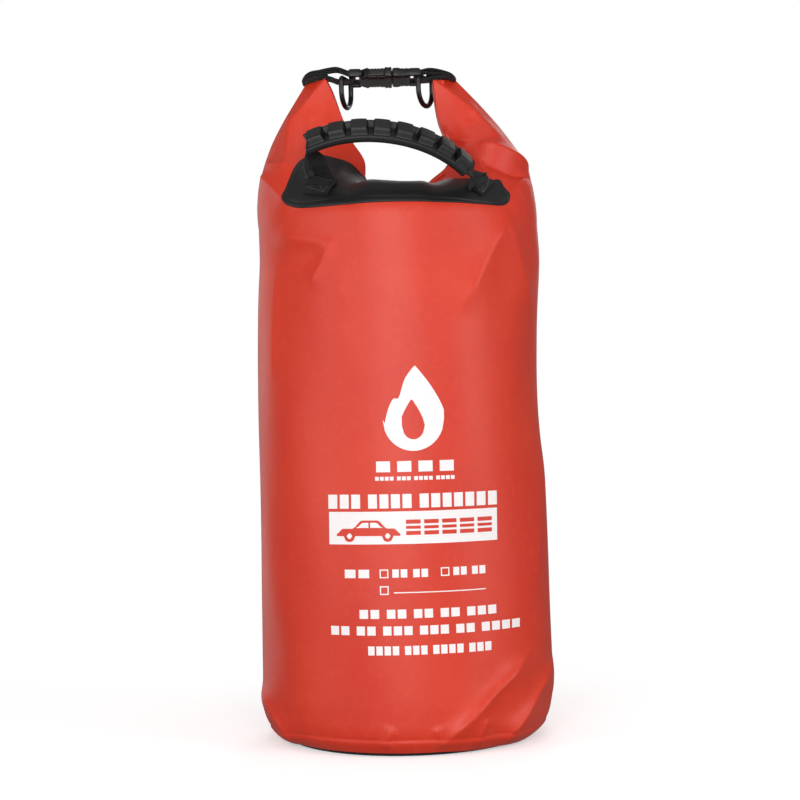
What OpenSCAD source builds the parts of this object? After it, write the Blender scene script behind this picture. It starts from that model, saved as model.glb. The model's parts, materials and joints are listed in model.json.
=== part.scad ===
// Roll-top carry bag of coated cloth with a folded car fire blanket inside.
// Millimetres, +Z up, front towards -Y, origin at the centre of the base's underside.

/* [Bag] */
// Outer radius of the filled bag
bag_r = 119; // [110:1:130]
// Thickness of the coated cloth
skin_t = 0.9; // [0.6:0.1:1.2]
// Height of the straight tube above the base
tube_h = 446; // [420:1:470]
// Height of the doubled, welded hem at the foot
hem_h = 13; // [8:1:20]
// Thickness of the base disc
base_t = 1.4; // [1:0.1:2]

/* [Rolled mouth] */
// Width of the flat roll, front to back
roll_w = 26; // [22:1:30]
// Thickness of the flat roll
roll_t = 12; // [10:1:14]
// Width of the stiffening strip inside the roll
strip_w = 20; // [16:1:22]
// Thickness of the stiffening strip
strip_t = 1.2; // [0.8:0.1:1.6]

/* [Top arms] */
// Sideways place of the middle of the buckle
mid_x = -8; // [-12:1:0]
// Distance of each arm's pivot from the middle of the buckle
pivot_x = 65; // [62:1:68]
// Height of the arms' pivots
pivot_z = 455; // [454:1:457]
// Radius of the shoulder fold that each arm turns on
fold_r = 24; // [20:1:24]
// Front-to-back length of the shoulder fold
fold_w = 84; // [60:1:100]

/* [Webbing] */
// Width of the webbing
web_w = 25; // [25:1:26]
// Thickness of the webbing
web_t = 1.3; // [1.1:0.1:1.4]

/* [Buckle] */
// Distance between the two webbing bars of the closed buckle
buckle_l = 56; // [56:1:58]
// Width of the buckle
buckle_w = 33; // [32:1:34]
// Thickness of the buckle
buckle_t = 10; // [9:0.5:11]
// Height of the buckle's middle plane
buckle_z = 551.5; // [551:0.5:552]
// Radius of the webbing bars
bar_r = 2; // [1.8:0.1:2.1]
// Wall of the socket
socket_wall = 1.6; // [1.4:0.1:1.8]

/* [Rings] */
// Radius of the ring's rod
rod_r = 2; // [1.8:0.1:2.1]
// Distance between the middles of the ring's two legs
ring_w = 30; // [30:1:32]
// Length of the ring's straight legs
leg_l = 10; // [8:1:12]

/* [Handle] */
// Radius of the grip's curve, at the webbing
grip_r = 95; // [90:1:100]
// Width of the grip
grip_w = 28; // [28:1:32]
// Number of ribs along the grip
rib_n = 8; // [6:1:9]
// Height of the ribs
rib_h = 6; // [4:0.5:7]
// How far the handle leans forward from upright
lean = 25; // [15:1:35]

/* [Blanket] */
// Radius of the folded and rolled blanket
blanket_r = 106; // [90:1:112]
// Height of the rolled blanket
blanket_h = 410; // [380:1:420]

/* [Hidden] */
$fn = 64;

red = "#d63a2c";
black = "#1c1c1e";
white = "#f6f2f2";
gap = 0.3;                          // air between soft pieces that lie on each other
dome_h = 6;                         // height of the rounded edge above the tube
top_z = tube_h + dome_h;            // flat top of the bag under the roll
left_pivot = [mid_x - pivot_x, pivot_z];
right_pivot = [mid_x + pivot_x, pivot_z];
left_bar = [mid_x - buckle_l / 2, buckle_z];
right_bar = [mid_x + buckle_l / 2, buckle_z];
web_gap = 0.3;                      // running gap between a bar and the webbing round it
ring_drop = 1.5;                    // how far a ring's bar hangs below the buckle's middle
ring_step = 7;                      // from a buckle bar to the ring's bar beside it
left_ring_bar = left_bar + [-ring_step, -ring_drop];
right_ring_bar = right_bar + [ring_step, -ring_drop];

// Inner edges of the two arms, from the foot to the tip, in the X-Z plane
left_edge = [[-38, 481], [-57, 547]];
right_edge = [[46, 481], [32, 545]];

// ---- helpers -------------------------------------------------------------------

// points along an arc in a plane, from angle a0 to angle a1
function arc(c, r, a0, a1, n) =
    [for (i = [0:n]) let (a = a0 + (a1 - a0) * i / n) c + r * [cos(a), sin(a)]];

function unit(v) = v / norm(v);

// direction of a path at its point i
function along(path, i) =
    unit(path[min(i + 1, len(path) - 1)] - path[max(i - 1, 0)]);

// outline of a band of thickness t that follows a path
function ribbon(path, t) = let (n = len(path)) concat(
    [for (i = [0:n - 1]) let (d = along(path, i)) path[i] + t / 2 * [-d[1], d[0]]],
    [for (i = [n - 1:-1:0]) let (d = along(path, i)) path[i] + t / 2 * [d[1], -d[0]]]);

// a drawing in the X-Z plane, made w wide from front to back
module slab(w) rotate([90, 0, 0]) linear_extrude(w, center = true) children();

// a cylinder along Y through a point of the X-Z plane
module rod_y(p, r, w) translate([p[0], 0, p[1]]) rotate([90, 0, 0]) cylinder(r = r, h = w, center = true);

// closed solid through rings that all have the same number of points
module skin(rings) {
    n = len(rings[0]);
    m = len(rings);
    sides = [for (k = [0:m - 2], i = [0:n - 1]) let (j = (i + 1) % n, a = k * n, b = a + n)
        each [[a + i, b + i, b + j], [a + i, b + j, a + j]]];
    foot = [[for (i = [0:n - 1]) i]];
    head = [[for (i = [n - 1:-1:0]) (m - 1) * n + i]];
    polyhedron(points = [for (r = rings) each r], faces = concat(sides, foot, head), convexity = 6);
}

// oval between two points of the X-Z plane, reaching b to the front and to the back
function oval(p0, p1, b, n = 36) =
    [for (i = [0:n - 1]) let (a = 360 * i / n, m = (p0 + p1) / 2 + (p1 - p0) / 2 * cos(a))
        [m[0], b * sin(a), m[1]]];

// ---- the bag -------------------------------------------------------------------

// coated cloth tube, doubled at the foot where it is welded round the base
module body_tube() color(red) rotate_extrude($fn = 128)
    polygon([
        [bag_r - skin_t, base_t + 0.2], [bag_r + 0.6, base_t + 0.2],
        [bag_r + 0.6, hem_h], [bag_r, hem_h + 0.6],
        [bag_r, tube_h], [bag_r - skin_t, tube_h]
    ]);

// round base with an upturned rim inside the tube's hem
module base_disc() {
    rim_r = bag_r - skin_t - 0.1;
    color(black) rotate_extrude($fn = 128)
        polygon([
            [0, 0], [rim_r, 0], [rim_r, hem_h],
            [rim_r - skin_t, hem_h], [rim_r - skin_t, base_t], [0, base_t]
        ]);
}

// flat top of the bag below the rolled mouth, with a rounded edge
module top_panel() {
    edge = 12;
    rise = dome_h - gap;
    c = [bag_r - edge, tube_h + gap];
    color(red) rotate_extrude($fn = 128)
        polygon(concat(
            [[0, top_z - skin_t]],
            [for (i = [9:-1:0]) let (a = 10 * i) c + [(edge - skin_t) * cos(a), (rise - skin_t) * sin(a)]],
            [for (i = [0:9]) let (a = 10 * i) c + [edge * cos(a), rise * sin(a)]],
            [[0, top_z]]
        ));
}

// soft fold that an arm turns on: the top part of a round bar along Y
module shoulder(p) color(red) difference() {
    rod_y(p, fold_r, fold_w);
    translate([p[0] - 2 * fold_r, -fold_w, 0]) cube([4 * fold_r, 2 * fold_w, top_z + gap]);
}
module left_shoulder() shoulder(left_pivot);
module right_shoulder() shoulder(right_pivot);

// ---- the rolled mouth ----------------------------------------------------------

// a straight length of the flat roll with the slot for its stiffener;
// p0 and p1 are the ends of its middle line
module roll_piece(p0, p1) {
    d = unit(p1 - p0);
    color(red) difference() {
        slab(roll_w) polygon(ribbon([p0, p1], roll_t));
        slab(strip_w + 0.4) polygon(ribbon([p0 - 5 * d, p1 + 5 * d], strip_t + 0.2));
    }
}

// the stiffener of one length of roll, set in from both ends
module strip_piece(p0, p1) {
    d = unit(p1 - p0);
    color(black) slab(strip_w) polygon(ribbon([p0 + 2 * d, p1 - 2 * d], strip_t));
}

middle_z = top_z + gap + roll_t / 2;
middle_ends = [
    [left_pivot[0] + fold_r + 1, middle_z],
    [right_pivot[0] - fold_r - 1, middle_z]
];
module mouth_roll() roll_piece(middle_ends[0], middle_ends[1]);
module mouth_stiffener() strip_piece(middle_ends[0], middle_ends[1]);

// middle line of the roll in an arm: half a roll outward from the arm's inner edge
function roll_line(edge, side) = let (d = unit(edge[1] - edge[0]), out = side * [d[1], -d[0]])
    [for (p = edge) p + roll_t / 2 * out];
left_line = roll_line(left_edge, -1);
right_line = roll_line(right_edge, 1);
module left_roll() roll_piece(left_line[0], left_line[1]);
module right_roll() roll_piece(right_line[0], right_line[1]);
module left_stiffener() strip_piece(left_line[0], left_line[1]);
module right_stiffener() strip_piece(right_line[0], right_line[1]);

// ---- the arms ------------------------------------------------------------------

// how far the cloth of an arm stays outside the roll, at height z
function cloth_edge(line, side, z) =
    line[0][0] + (line[1][0] - line[0][0]) * (z - line[0][1]) / (line[1][1] - line[0][1])
    + side * (roll_t / 2 + 1);

// each row: height beside the roll, outer edge and its height, half depth front to back
left_rows = [[480.3, -107, 496, 60], [492, -103, 505, 44], [508, -96.5, 518, 28], [526, -88.5, 533, 16], [543, -82, 543, 9]];
right_rows = [[480.3, 92, 497, 55], [489, 88, 503, 42], [500, 82, 512, 31], [511, 75.5, 521, 23], [527, 65.5, 533.5, 14], [542, 56, 542, 8]];

// rows run from the left to the right, so that every ring turns the same way
module arm(rows, line, side) color(red)
    skin([for (r = rows) let (inner = [cloth_edge(line, side, r[0]), r[0]], outer = [r[1], r[2]])
        side < 0 ? oval(outer, inner, r[3]) : oval(inner, outer, r[3])]);
module left_arm() arm(left_rows, left_line, -1);
module right_arm() arm(right_rows, right_line, 1);

// ---- webbing at the arms' tips ---------------------------------------------------

loop_r = bar_r + web_gap + web_t / 2;

// over the outside of the tip, round the buckle's bar and back under the ring's bar
left_path = concat(
    [for (p = [[-52, -13], [-47, -4], [-40, 0.5], [-32, 3], [-24, 6.5], [-16, 8], [-8, 6.7]]) left_bar + p],
    arc(left_bar, loop_r, 100, -90, 12),
    [for (p = [[-7, -4.55], [-14, -4.1], [-20, -0.2], [-26, 1.7]]) left_bar + p]
);
right_path = concat(
    [for (p = [[45, -13.7], [39.5, -5], [32.5, 1], [24, 5.5], [15, 8], [7, 6.9]]) right_bar + p],
    arc(right_bar, loop_r, 80, 270, 12),
    [for (p = [[6.5, -4.7], [12, -4.2], [17, -0.5], [22, 2]]) right_bar + p]
);
module strap(path) color(black) slab(web_w) polygon(ribbon(path, web_t));
module left_strap() strap(left_path);
module right_strap() strap(right_path);

// three rows of thread across the webbing, just proud of its outer face
module strap_stitching(path, side) {
    n = 7;
    row = 5;
    foot = path[1];
    d = unit(path[2] - path[1]);
    out = side * [-d[1], d[0]];
    color(black) for (k = [0:2], i = [0:n - 1]) {
        p = foot + (k - 1) * row / 2 * d + (web_t / 2 + 0.4) * out;
        y = (i - (n - 1) / 2) * (web_w - 4) / n;
        translate([p[0], y, p[1]]) rotate([90, 0, 0]) cylinder(r = 0.25, h = 2, center = true, $fn = 16);
    }
}
module left_strap_stitching() strap_stitching(left_path, 1);
module right_strap_stitching() strap_stitching(right_path, -1);

// ---- rings ---------------------------------------------------------------------

// D-shaped ring hanging from its straight bar
module ring(p) {
    half = ring_w / 2;
    color(black) translate([p[0], 0, p[1]]) union() {
        rotate([90, 0, 0]) cylinder(r = rod_r, h = ring_w, center = true);
        for (s = [-1, 1]) {
            translate([0, s * half, 0]) sphere(r = rod_r);
            translate([0, s * half, -leg_l]) cylinder(r = rod_r, h = leg_l);
        }
        translate([0, 0, -leg_l]) rotate([0, 90, 0]) rotate([0, 0, -90])
            rotate_extrude(angle = 180) translate([half, 0]) circle(r = rod_r);
    }
}
module left_ring() ring(left_ring_bar);
module right_ring() ring(right_ring_bar);

// ---- side-release buckle -----------------------------------------------------------

mouth_x = 34;                       // socket's mouth, from its bar
slot_x = 7;                         // socket's closed end, from its bar
window = [14, 29];                  // side windows, from the bar
cavity_w = buckle_w - 2 * socket_wall;
cavity_t = buckle_t - 2 * socket_wall;
latch_t = cavity_t - 1;
latch_root = [mouth_x + 0.6, 9.5];  // where a latch arm bends

// places children in the buckle's own frame: X from the socket's bar towards the plug's
module at_buckle() translate([left_bar[0], 0, left_bar[1]]) children();

module block(x0, x1, w, t) translate([x0, -w / 2, -t / 2]) cube([x1 - x0, w, t]);

module rounded_block(x0, x1, w, t, r) translate([0, 0, -t / 2]) linear_extrude(t)
    polygon(concat(
        arc([x0 + r, -w / 2 + r], r, 180, 270, 6), arc([x1 - r, -w / 2 + r], r, 270, 360, 6),
        arc([x1 - r, w / 2 - r], r, 0, 90, 6), arc([x0 + r, w / 2 - r], r, 90, 180, 6)));

module buckle_socket() color(black) at_buckle() union() {
    rotate([90, 0, 0]) cylinder(r = bar_r, h = buckle_w - 2, center = true);
    for (s = [-1, 1]) translate([0, s * (buckle_w / 2 - 1.75), 0]) block(0, slot_x + 1, 3.5, 2 * bar_r);
    difference() {
        rounded_block(slot_x, mouth_x, buckle_w, buckle_t, 2.5);
        block(slot_x + 2, mouth_x + 1, cavity_w, cavity_t);
        translate([window[0], -buckle_w, -cavity_t / 2]) cube([window[1] - window[0], 2 * buckle_w, cavity_t]);
    }
}

// outline of one latch arm, seen from above, with its squeeze pad in the window
latch_outline = [
    [mouth_x + 0.35, 7.6], [mouth_x + 0.35, 11.2], [window[1] - 0.8, 12.2], [window[1] - 0.8, 15.6],
    [window[1] - 6, 16], [window[0] + 4, 15.2], [window[0] + 1, 13.4], [window[0] + 1.5, 11],
    [window[0] + 5, 10.6], [window[1] - 3, 8.6]
];
module latch(side) color(black) at_buckle() translate([0, 0, -latch_t / 2]) linear_extrude(latch_t)
    polygon([for (p = latch_outline) [p[0], side * p[1]]]);
module front_latch() latch(-1);
module rear_latch() latch(1);

module buckle_plug() {
    base_x = mouth_x + 1;
    color(black) at_buckle() union() {
        rounded_block(base_x, buckle_l - slot_x, buckle_w - 2, buckle_t - 1.5, 2);
        block(window[0], base_x + 1, 6, 3);
        for (s = [-1, 1])
            translate([0, s * (buckle_w / 2 - 2.3), 0]) block(buckle_l - slot_x - 1, buckle_l, 2.6, 2 * bar_r);
        translate([buckle_l, 0, 0]) rotate([90, 0, 0]) cylinder(r = bar_r, h = buckle_w - 4, center = true);
    }
}

// ---- carry handle ----------------------------------------------------------------

hinge = [1, -103, 453];             // middle of the line that the handle swings about
grip_c = [-20.5, -50.8];            // centre of the grip's curve, from the hinge
grip_a = [39, 121.5];             // the grip's two ends, as angles round that centre
base_in = 4;                        // grip below the webbing
base_out = 2;                       // grip above the webbing, up to the foot of the ribs
slot_t = web_t + 0.6;

module at_handle() translate(hinge) rotate([lean, 0, 0]) children();

// part of a ring in the handle's plane, between two radii and two angles
module bow(r0, r1, w, a0, a1) translate([grip_c[0], 0, grip_c[1]]) rotate([90, 0, 0]) rotate([0, 0, a0])
    rotate_extrude(angle = a1 - a0, $fn = 180) translate([r0, -w / 2]) square([r1 - r0, w]);

module handle_grip() {
    pitch = (grip_a[1] - grip_a[0]) / rib_n;
    color(black) at_handle() difference() {
        union() {
            bow(grip_r - base_in, grip_r + base_out, grip_w, grip_a[0], grip_a[1]);
            for (i = [0:rib_n - 1])
                bow(grip_r + base_out - 0.2, grip_r + base_out + rib_h, grip_w - 4,
                    grip_a[0] + (i + 0.15) * pitch, grip_a[0] + (i + 0.85) * pitch);
        }
        bow(grip_r - slot_t / 2, grip_r + slot_t / 2, web_w + 0.6, grip_a[0] - 1, grip_a[1] + 1);
    }
}

// webbing through the grip; each free end stops short of its anchor by the width it twists through
module handle_webbing() {
    ends = [for (a = grip_a) grip_c + grip_r * [cos(a), sin(a)]];
    right_end = [[ends[0][0] + 3.5, ends[0][1] - 2]];
    left_end = [[ends[1][0] - 2, ends[1][1] - 5], [ends[1][0] + 0.4, 16]];
    color(black) at_handle() slab(web_w)
        polygon(ribbon(concat(right_end, arc(grip_c, grip_r, grip_a[0], grip_a[1], 24), left_end), web_t));
}

// ---- patch and anchors on the bag ---------------------------------------------------

patch_z = 433;                      // lower edge of the patch
patch_a = [-48, 48];                // its two ends, as angles from the front
patch_t = 0.8;

// things drawn at a profile and turned between two angles from the front
module wrap(a0, a1) rotate([0, 0, a0 - 90]) rotate_extrude(angle = a1 - a0, $fn = 180) children();

// patch welded to the shoulder of the bag and turned over its top edge
module handle_patch() color(black) wrap(patch_a[0], patch_a[1])
    polygon([
        [bag_r + 0.1, patch_z], [bag_r + 0.1 + patch_t, patch_z],
        [bag_r + 0.1 + patch_t, top_z + gap + patch_t], [bag_r - 30, top_z + gap + patch_t],
        [bag_r - 30, top_z + gap], [bag_r + 0.1, top_z + gap]
    ]);

// doubled end of the handle's webbing, sewn to the patch
anchor_a = [-34, 36];               // middle of each anchor, as an angle from the front
module anchor(a) color(black) wrap(a - 6, a + 6)
    translate([bag_r + 0.2 + patch_t, patch_z + 2]) square([2 * web_t, 13]);
module left_anchor() anchor(anchor_a[0]);
module right_anchor() anchor(anchor_a[1]);

// thread of both anchors: four sides of a box
module anchor_stitching() {
    r = bag_r + 0.25 + patch_t + 2 * web_t;
    color(black) for (a = anchor_a) {
        for (z = [patch_z + 4, patch_z + 12]) wrap(a - 4.5, a + 4.5) translate([r, z]) square([0.4, 0.5]);
        for (s = [-4.6, 4.3]) wrap(a + s, a + s + 0.3) translate([r, patch_z + 5]) square([0.4, 6.5]);
    }
}

// ---- print -----------------------------------------------------------------------

print_t = 0.15;
print_x = 7;                        // middle of the print, to the right of the front

// a band of print on the front of the tube, between two places across it
module bar(x0, x1, z, h) wrap(asin((print_x + x0) / bag_r), asin((print_x + x1) / bag_r))
    translate([bag_r + 0.05, z - h / 2]) square([print_t, h]);

// outline of a square tick box with side a
module tick_box(x, z, a) difference() {
    bar(x - a / 2, x + a / 2, z, a);
    wrap(asin((print_x + x - a / 2 + 0.8) / bag_r), asin((print_x + x + a / 2 - 0.8) / bag_r))
        translate([bag_r, z - a / 2 + 0.8]) square([1, a - 1.6]);
}

// plain signs in place of lettering: a drop-shaped flame, a banner, tick boxes and lines
module front_print() color(white) {
    for (i = [0:9]) let (z = 252 + 5.5 * i, w = 19 * sqrt(1 - pow((i - 3) / 8, 2)) * (i < 3 ? 1 : 1 - (i - 3) / 14))
        bar(2 - w, 2 + w, z, 4);
    bar(-28, 33, 228, 9);
    bar(-28, 33, 219, 3);
    bar(-66, 67, 201, 12);
    bar(-66, 67, 180, 25);
    for (p = [[-23.5, 144.5], [24.5, 145], [-23.5, 131.5]]) tick_box(p[0], p[1], 7);
    bar(-54, -33, 144.5, 7);
    bar(-17, 11, 144.5, 7);
    bar(31, 57, 145, 7);
    bar(-16, 57, 129.5, 1);
    bar(-43, 65, 113, 8);
    bar(-66, 85, 100, 8);
    bar(-37, 60, 84.5, 8);
}

// ---- what the bag holds ------------------------------------------------------------

blanket_z = hem_h + 2;

// blanket folded to the height of the bag and rolled up, with the hollow left at its middle
module blanket_roll() color("#c9c7bd") translate([0, 0, blanket_z]) difference() {
    cylinder(r = blanket_r, h = blanket_h, $fn = 128);
    translate([0, 0, -1]) cylinder(r = 12, h = blanket_h + 2);
}

// two webbing loops that stand on the blanket's outer corners
module blanket_pull_straps() {
    color(black) for (s = [-1, 1])
        translate([s * 70, 0, blanket_z + blanket_h + gap]) rotate([90, 0, 0]) linear_extrude(web_w, center = true)
            difference() {
                polygon(concat(arc([-12, 7], 6.5, 90, 270, 8), arc([12, 7], 6.5, -90, 90, 8)));
                polygon(concat(arc([-12, 7], 5.2, 90, 270, 8), arc([12, 7], 5.2, -90, 90, 8)));
            }
}

// ---- choice of node ----------------------------------------------------------------

body_tube();
base_disc();
top_panel();
left_shoulder();
right_shoulder();
mouth_roll();
mouth_stiffener();
handle_patch();
left_anchor();
right_anchor();
anchor_stitching();
front_print();
blanket_roll();
blanket_pull_straps();
handle_grip();
handle_webbing();
left_arm();
left_roll();
left_stiffener();
left_strap();
left_strap_stitching();
left_ring();
buckle_socket();
right_arm();
right_roll();
right_stiffener();
right_strap();
right_strap_stitching();
right_ring();
buckle_plug();
front_latch();
rear_latch();
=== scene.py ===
# %% [markdown]
# # A roll-top carry bag for a car fire blanket
# The bag is a tube of coated cloth. Its mouth is rolled up flat, the two ends of the roll are bent
# upwards, and a side-release buckle joins them over the top. Nearly everything on it is soft, so
# most of this lesson is about describing a folded sheet with arithmetic instead of with a brush.
#
# The engineering model already fixes the sizes and the joints. We load it first and hang every
# surface that we make on one of its bodies.

# %% Load the frame
import json
import bmesh
import bpy
import numpy as np
from mathutils import Matrix, Vector

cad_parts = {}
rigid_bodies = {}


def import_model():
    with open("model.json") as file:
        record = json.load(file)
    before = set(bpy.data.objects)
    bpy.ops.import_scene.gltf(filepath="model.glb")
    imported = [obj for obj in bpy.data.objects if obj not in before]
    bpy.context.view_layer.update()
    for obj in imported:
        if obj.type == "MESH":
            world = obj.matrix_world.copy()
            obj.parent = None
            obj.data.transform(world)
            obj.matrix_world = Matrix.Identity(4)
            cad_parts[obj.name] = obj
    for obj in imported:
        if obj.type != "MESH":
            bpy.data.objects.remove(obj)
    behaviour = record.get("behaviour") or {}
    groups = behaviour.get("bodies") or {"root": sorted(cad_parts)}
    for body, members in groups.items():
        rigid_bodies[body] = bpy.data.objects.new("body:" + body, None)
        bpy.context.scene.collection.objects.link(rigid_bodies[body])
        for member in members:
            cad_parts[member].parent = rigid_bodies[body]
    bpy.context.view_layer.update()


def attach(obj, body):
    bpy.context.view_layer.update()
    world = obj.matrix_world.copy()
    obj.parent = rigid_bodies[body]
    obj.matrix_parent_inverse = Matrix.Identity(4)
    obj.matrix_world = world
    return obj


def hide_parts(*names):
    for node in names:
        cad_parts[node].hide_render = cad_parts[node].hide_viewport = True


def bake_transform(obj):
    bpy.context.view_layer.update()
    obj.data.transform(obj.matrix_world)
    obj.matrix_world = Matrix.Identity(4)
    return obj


for leftover in list(bpy.data.objects):
    bpy.data.objects.remove(leftover)

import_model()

# %% [markdown]
# ## From a grid of points to a mesh
# Every surface below is a function of two numbers, u and v, worked out for a whole grid at once.
# One helper turns such grids into a mesh: each small square of the grid becomes a face. It also
# keeps a UV map in metres of cloth, which the weaves need, and it can take normals worked out
# elsewhere, so that two pieces cut from one surface meet without a visible line.

# %% Build a mesh from grids
MM = 0.001                       # metres in a millimetre
WELD = 2e-6                      # metres
CREASE_ANGLE = 0.7               # radians; sharper edges than this stay sharp


def quads(nu, nv, wrap_u, wrap_v):
    """Corner numbers of each square (i, j), (i+1, j), (i+1, j+1), (i, j+1) of an nu by nv grid."""
    i, j = np.meshgrid(np.arange(nu if wrap_u else nu - 1),
                       np.arange(nv if wrap_v else nv - 1), indexing="ij")
    i2, j2 = (i + 1) % nu, (j + 1) % nv
    return np.stack([i * nv + j, i2 * nv + j, i2 * nv + j2, i * nv + j2], -1).reshape(-1, 4)


def volume(p, q):
    """Signed volume inside the squares q, positive if they face outwards: the sum of
    a . (b x c) + a . (c x d) over their corners a, b, c, d."""
    a, b, c, d = (p[q[:, k]] - p.mean(0) for k in range(4))
    return np.sum(a * (np.cross(b, c) + np.cross(c, d)))


def build(name, grids, normals=None):
    """One mesh from several grids, in millimetres. Each grid is (points, wrap_u, wrap_v, flip, uv).
    Where flip is None the grid is a closed surface, and its squares are turned so that its volume
    is positive. Points closer than WELD become one."""
    corners, places, maps, start = [], [], [], 0
    for points, wrap_u, wrap_v, flip, uv in grids:
        q = quads(points.shape[0], points.shape[1], wrap_u, wrap_v)
        flat = points.reshape(-1, 3)
        if flip or (flip is None and volume(flat, q) < 0):
            q = q[:, ::-1]
        uv = points[..., :2] if uv is None else uv
        maps.append(uv.reshape(-1, 2)[q.reshape(-1)])
        corners.append(q + start)
        places.append(flat)
        start += len(flat)
    q, p, m = np.concatenate(corners), np.concatenate(places), np.concatenate(maps)
    mesh = bpy.data.meshes.new(name)
    mesh.vertices.add(len(p))
    mesh.vertices.foreach_set("co", (p * MM).astype(np.float32).reshape(-1))
    mesh.loops.add(q.size)
    mesh.loops.foreach_set("vertex_index", q.reshape(-1).astype(np.int32))
    mesh.polygons.add(len(q))
    mesh.polygons.foreach_set("loop_start", np.arange(0, q.size, 4, dtype=np.int32))
    mesh.update(calc_edges=True)
    mesh.uv_layers.new(name="UVMap").data.foreach_set("uv", (m * MM).astype(np.float32).reshape(-1))
    if normals is not None:
        mesh.attributes.new("outward", "FLOAT_VECTOR", "POINT").data.foreach_set(
            "vector", normals.astype(np.float32).reshape(-1))
    work = bmesh.new()
    work.from_mesh(mesh)
    bmesh.ops.remove_doubles(work, verts=work.verts, dist=WELD)
    work.to_mesh(mesh)
    work.free()
    mesh.polygons.foreach_set("use_smooth", np.ones(len(mesh.polygons), bool))
    if normals is not None:
        kept = np.zeros(3 * len(mesh.vertices), np.float32)
        mesh.attributes["outward"].data.foreach_get("vector", kept)
        mesh.normals_split_custom_set_from_vertices(kept.reshape(-1, 3).tolist())
        mesh.attributes.remove(mesh.attributes["outward"])
    else:
        mesh.set_sharp_from_angle(angle=CREASE_ANGLE)
    piece = bpy.data.objects.new(name, mesh)
    bpy.context.collection.objects.link(piece)
    print(f"{name}: {len(mesh.vertices)} points, {len(mesh.polygons)} faces")
    return piece


def hang(piece, body, *nodes):
    """Puts a piece on a body in place of CAD nodes; where body is a dictionary, it only bakes the piece's
    place into its points and hides the nodes.
    """
    if isinstance(body, dict):
        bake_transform(piece)
    else:
        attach(piece, body)
    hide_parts(*nodes)

# %% [markdown]
# ## Curves and vectors
# A few small functions do most of the drawing: a smooth curve through given points, a smooth step
# from 0 to 1, straight readings from a table, the distance along a path, and three that make
# grids and vectors.

# %% Curves, steps and vectors
def cubic(x, xs, ys):
    """Smooth curve through the points (xs, ys): on each stretch, the cubic that has the
    average slope of its neighbours at both ends."""
    xs, ys = np.asarray(xs, float), np.asarray(ys, float)
    slope = np.gradient(ys, xs, axis=0)
    x = np.clip(x, xs[0], xs[-1])
    i = np.clip(np.searchsorted(xs, x, side="right") - 1, 0, len(xs) - 2)
    h = xs[i + 1] - xs[i]
    t = (x - xs[i]) / h
    if ys.ndim > 1:
        h, t = h[..., None], t[..., None]
    return ((2 * t**3 - 3 * t**2 + 1) * ys[i] + (t**3 - 2 * t**2 + t) * h * slope[i]
            + (3 * t**2 - 2 * t**3) * ys[i + 1] + (t**3 - t**2) * h * slope[i + 1])


def step(a, b, x):
    """0 below a, 1 above b, and the smooth cubic 3t^2 - 2t^3 between them."""
    t = np.clip((x - a) / (b - a), 0, 1)
    return t * t * (3 - 2 * t)


def read_table(at, where, table):
    """Every column of a table whose rows lie at the places where, read at the places at."""
    return np.stack([np.interp(at, where, column) for column in np.transpose(table)], -1)


def run_length(path):
    """Distance along a path to each of its points."""
    return np.concatenate([[0], np.cumsum(np.linalg.norm(np.diff(path, axis=0), axis=-1))])


def pairs(a, b):
    """Grid of every pair of a value of a and a value of b."""
    return np.stack(np.meshgrid(a, b, indexing="ij"), -1)


def unit(v):
    """Each vector divided by its own length."""
    return v / np.maximum(np.linalg.norm(v, axis=-1, keepdims=True), 1e-9)


def vec(x, y, z):
    """Three arrays stacked as the x, y and z of points."""
    return np.stack(np.broadcast_arrays(x, y, z), -1).astype(float)

# %% [markdown]
# ## The shape of the cloth
# Up to its shoulders the bag is nearly a cylinder that the blanket keeps round, slightly fuller
# at the foot. Above them every vertical line of the cloth runs to a point on the rolled mouth.
# The roll itself is bent like a U, so the lines at the sides climb far and form two arms, and
# the lines at the front turn in over the top of the blanket.
#
# Each line is a cubic Bezier curve: it leaves the tube going straight up, and it reaches the
# roll along a slope that a table below gives for nine directions, from the left side to the
# right. The back of the bag mirrors the front.

# %% The tube and the U of the roll
FOOT, NECK = 3.5, 425.0          # heights where the cloth starts and where the tube ends
RADIUS = [  # height, radius
    (0, 111.5), (5, 115.5), (10, 118.6), (18, 120.6), (32, 121.6), (60, 121.8), (105, 121.2),
    (208, 118.6), (283, 117.5), (354, 117.3), (400, 117.1), (425, 116.6)]
SHIFT = [  # height, how far the middle of the section lies to the right
    (0, 0.4), (105, 0.0), (208, -0.8), (283, -2.2), (354, -0.8), (400, 1.2), (425, 0.4)]
U_LINE = np.array([  # x and z of the roll, from the left tip to the right
    (-61.5, 547.5), (-56, 535.5), (-49.5, 517.5), (-41, 495.5), (-31.5, 480), (-31, 465), (-21, 452),
    (0, 446), (20, 450), (33, 460), (46, 471), (52, 487), (45.5, 503), (40.7, 516), (38.5, 532),
    (37, 547)], float)


def along_roll(s):
    """Point of the roll's middle line and its outward normal, at the share s of its length,
    from the left tip to the right tip. The line is a cubic through U_LINE."""
    k = np.arange(len(U_LINE))
    fine = cubic(np.linspace(0, len(k) - 1, 800), k, U_LINE)
    length = run_length(fine)
    where = np.asarray(s) * length[-1]
    d = read_table(where, length, unit(np.gradient(fine, axis=0)))
    return read_table(where, length, fine), np.stack([d[..., 1], -d[..., 0]], -1)


TIP = 0.03                       # share of the cloth's edge that closes each tip of the roll
print("roll:", run_length(along_roll(np.linspace(0, 1, 400))[0])[-1].round(), "mm from tip to tip")


def drawn_in(a, z):
    """How far the foot is pulled in at its two sides: cos(a)^2 * (11 exp(-z/8) + 3.2 (1 - z/38))."""
    return np.cos(a) ** 2 * (11 * np.exp(-z / 8) + 3.2 * np.clip(1 - z / 38, 0, 1))


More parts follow.
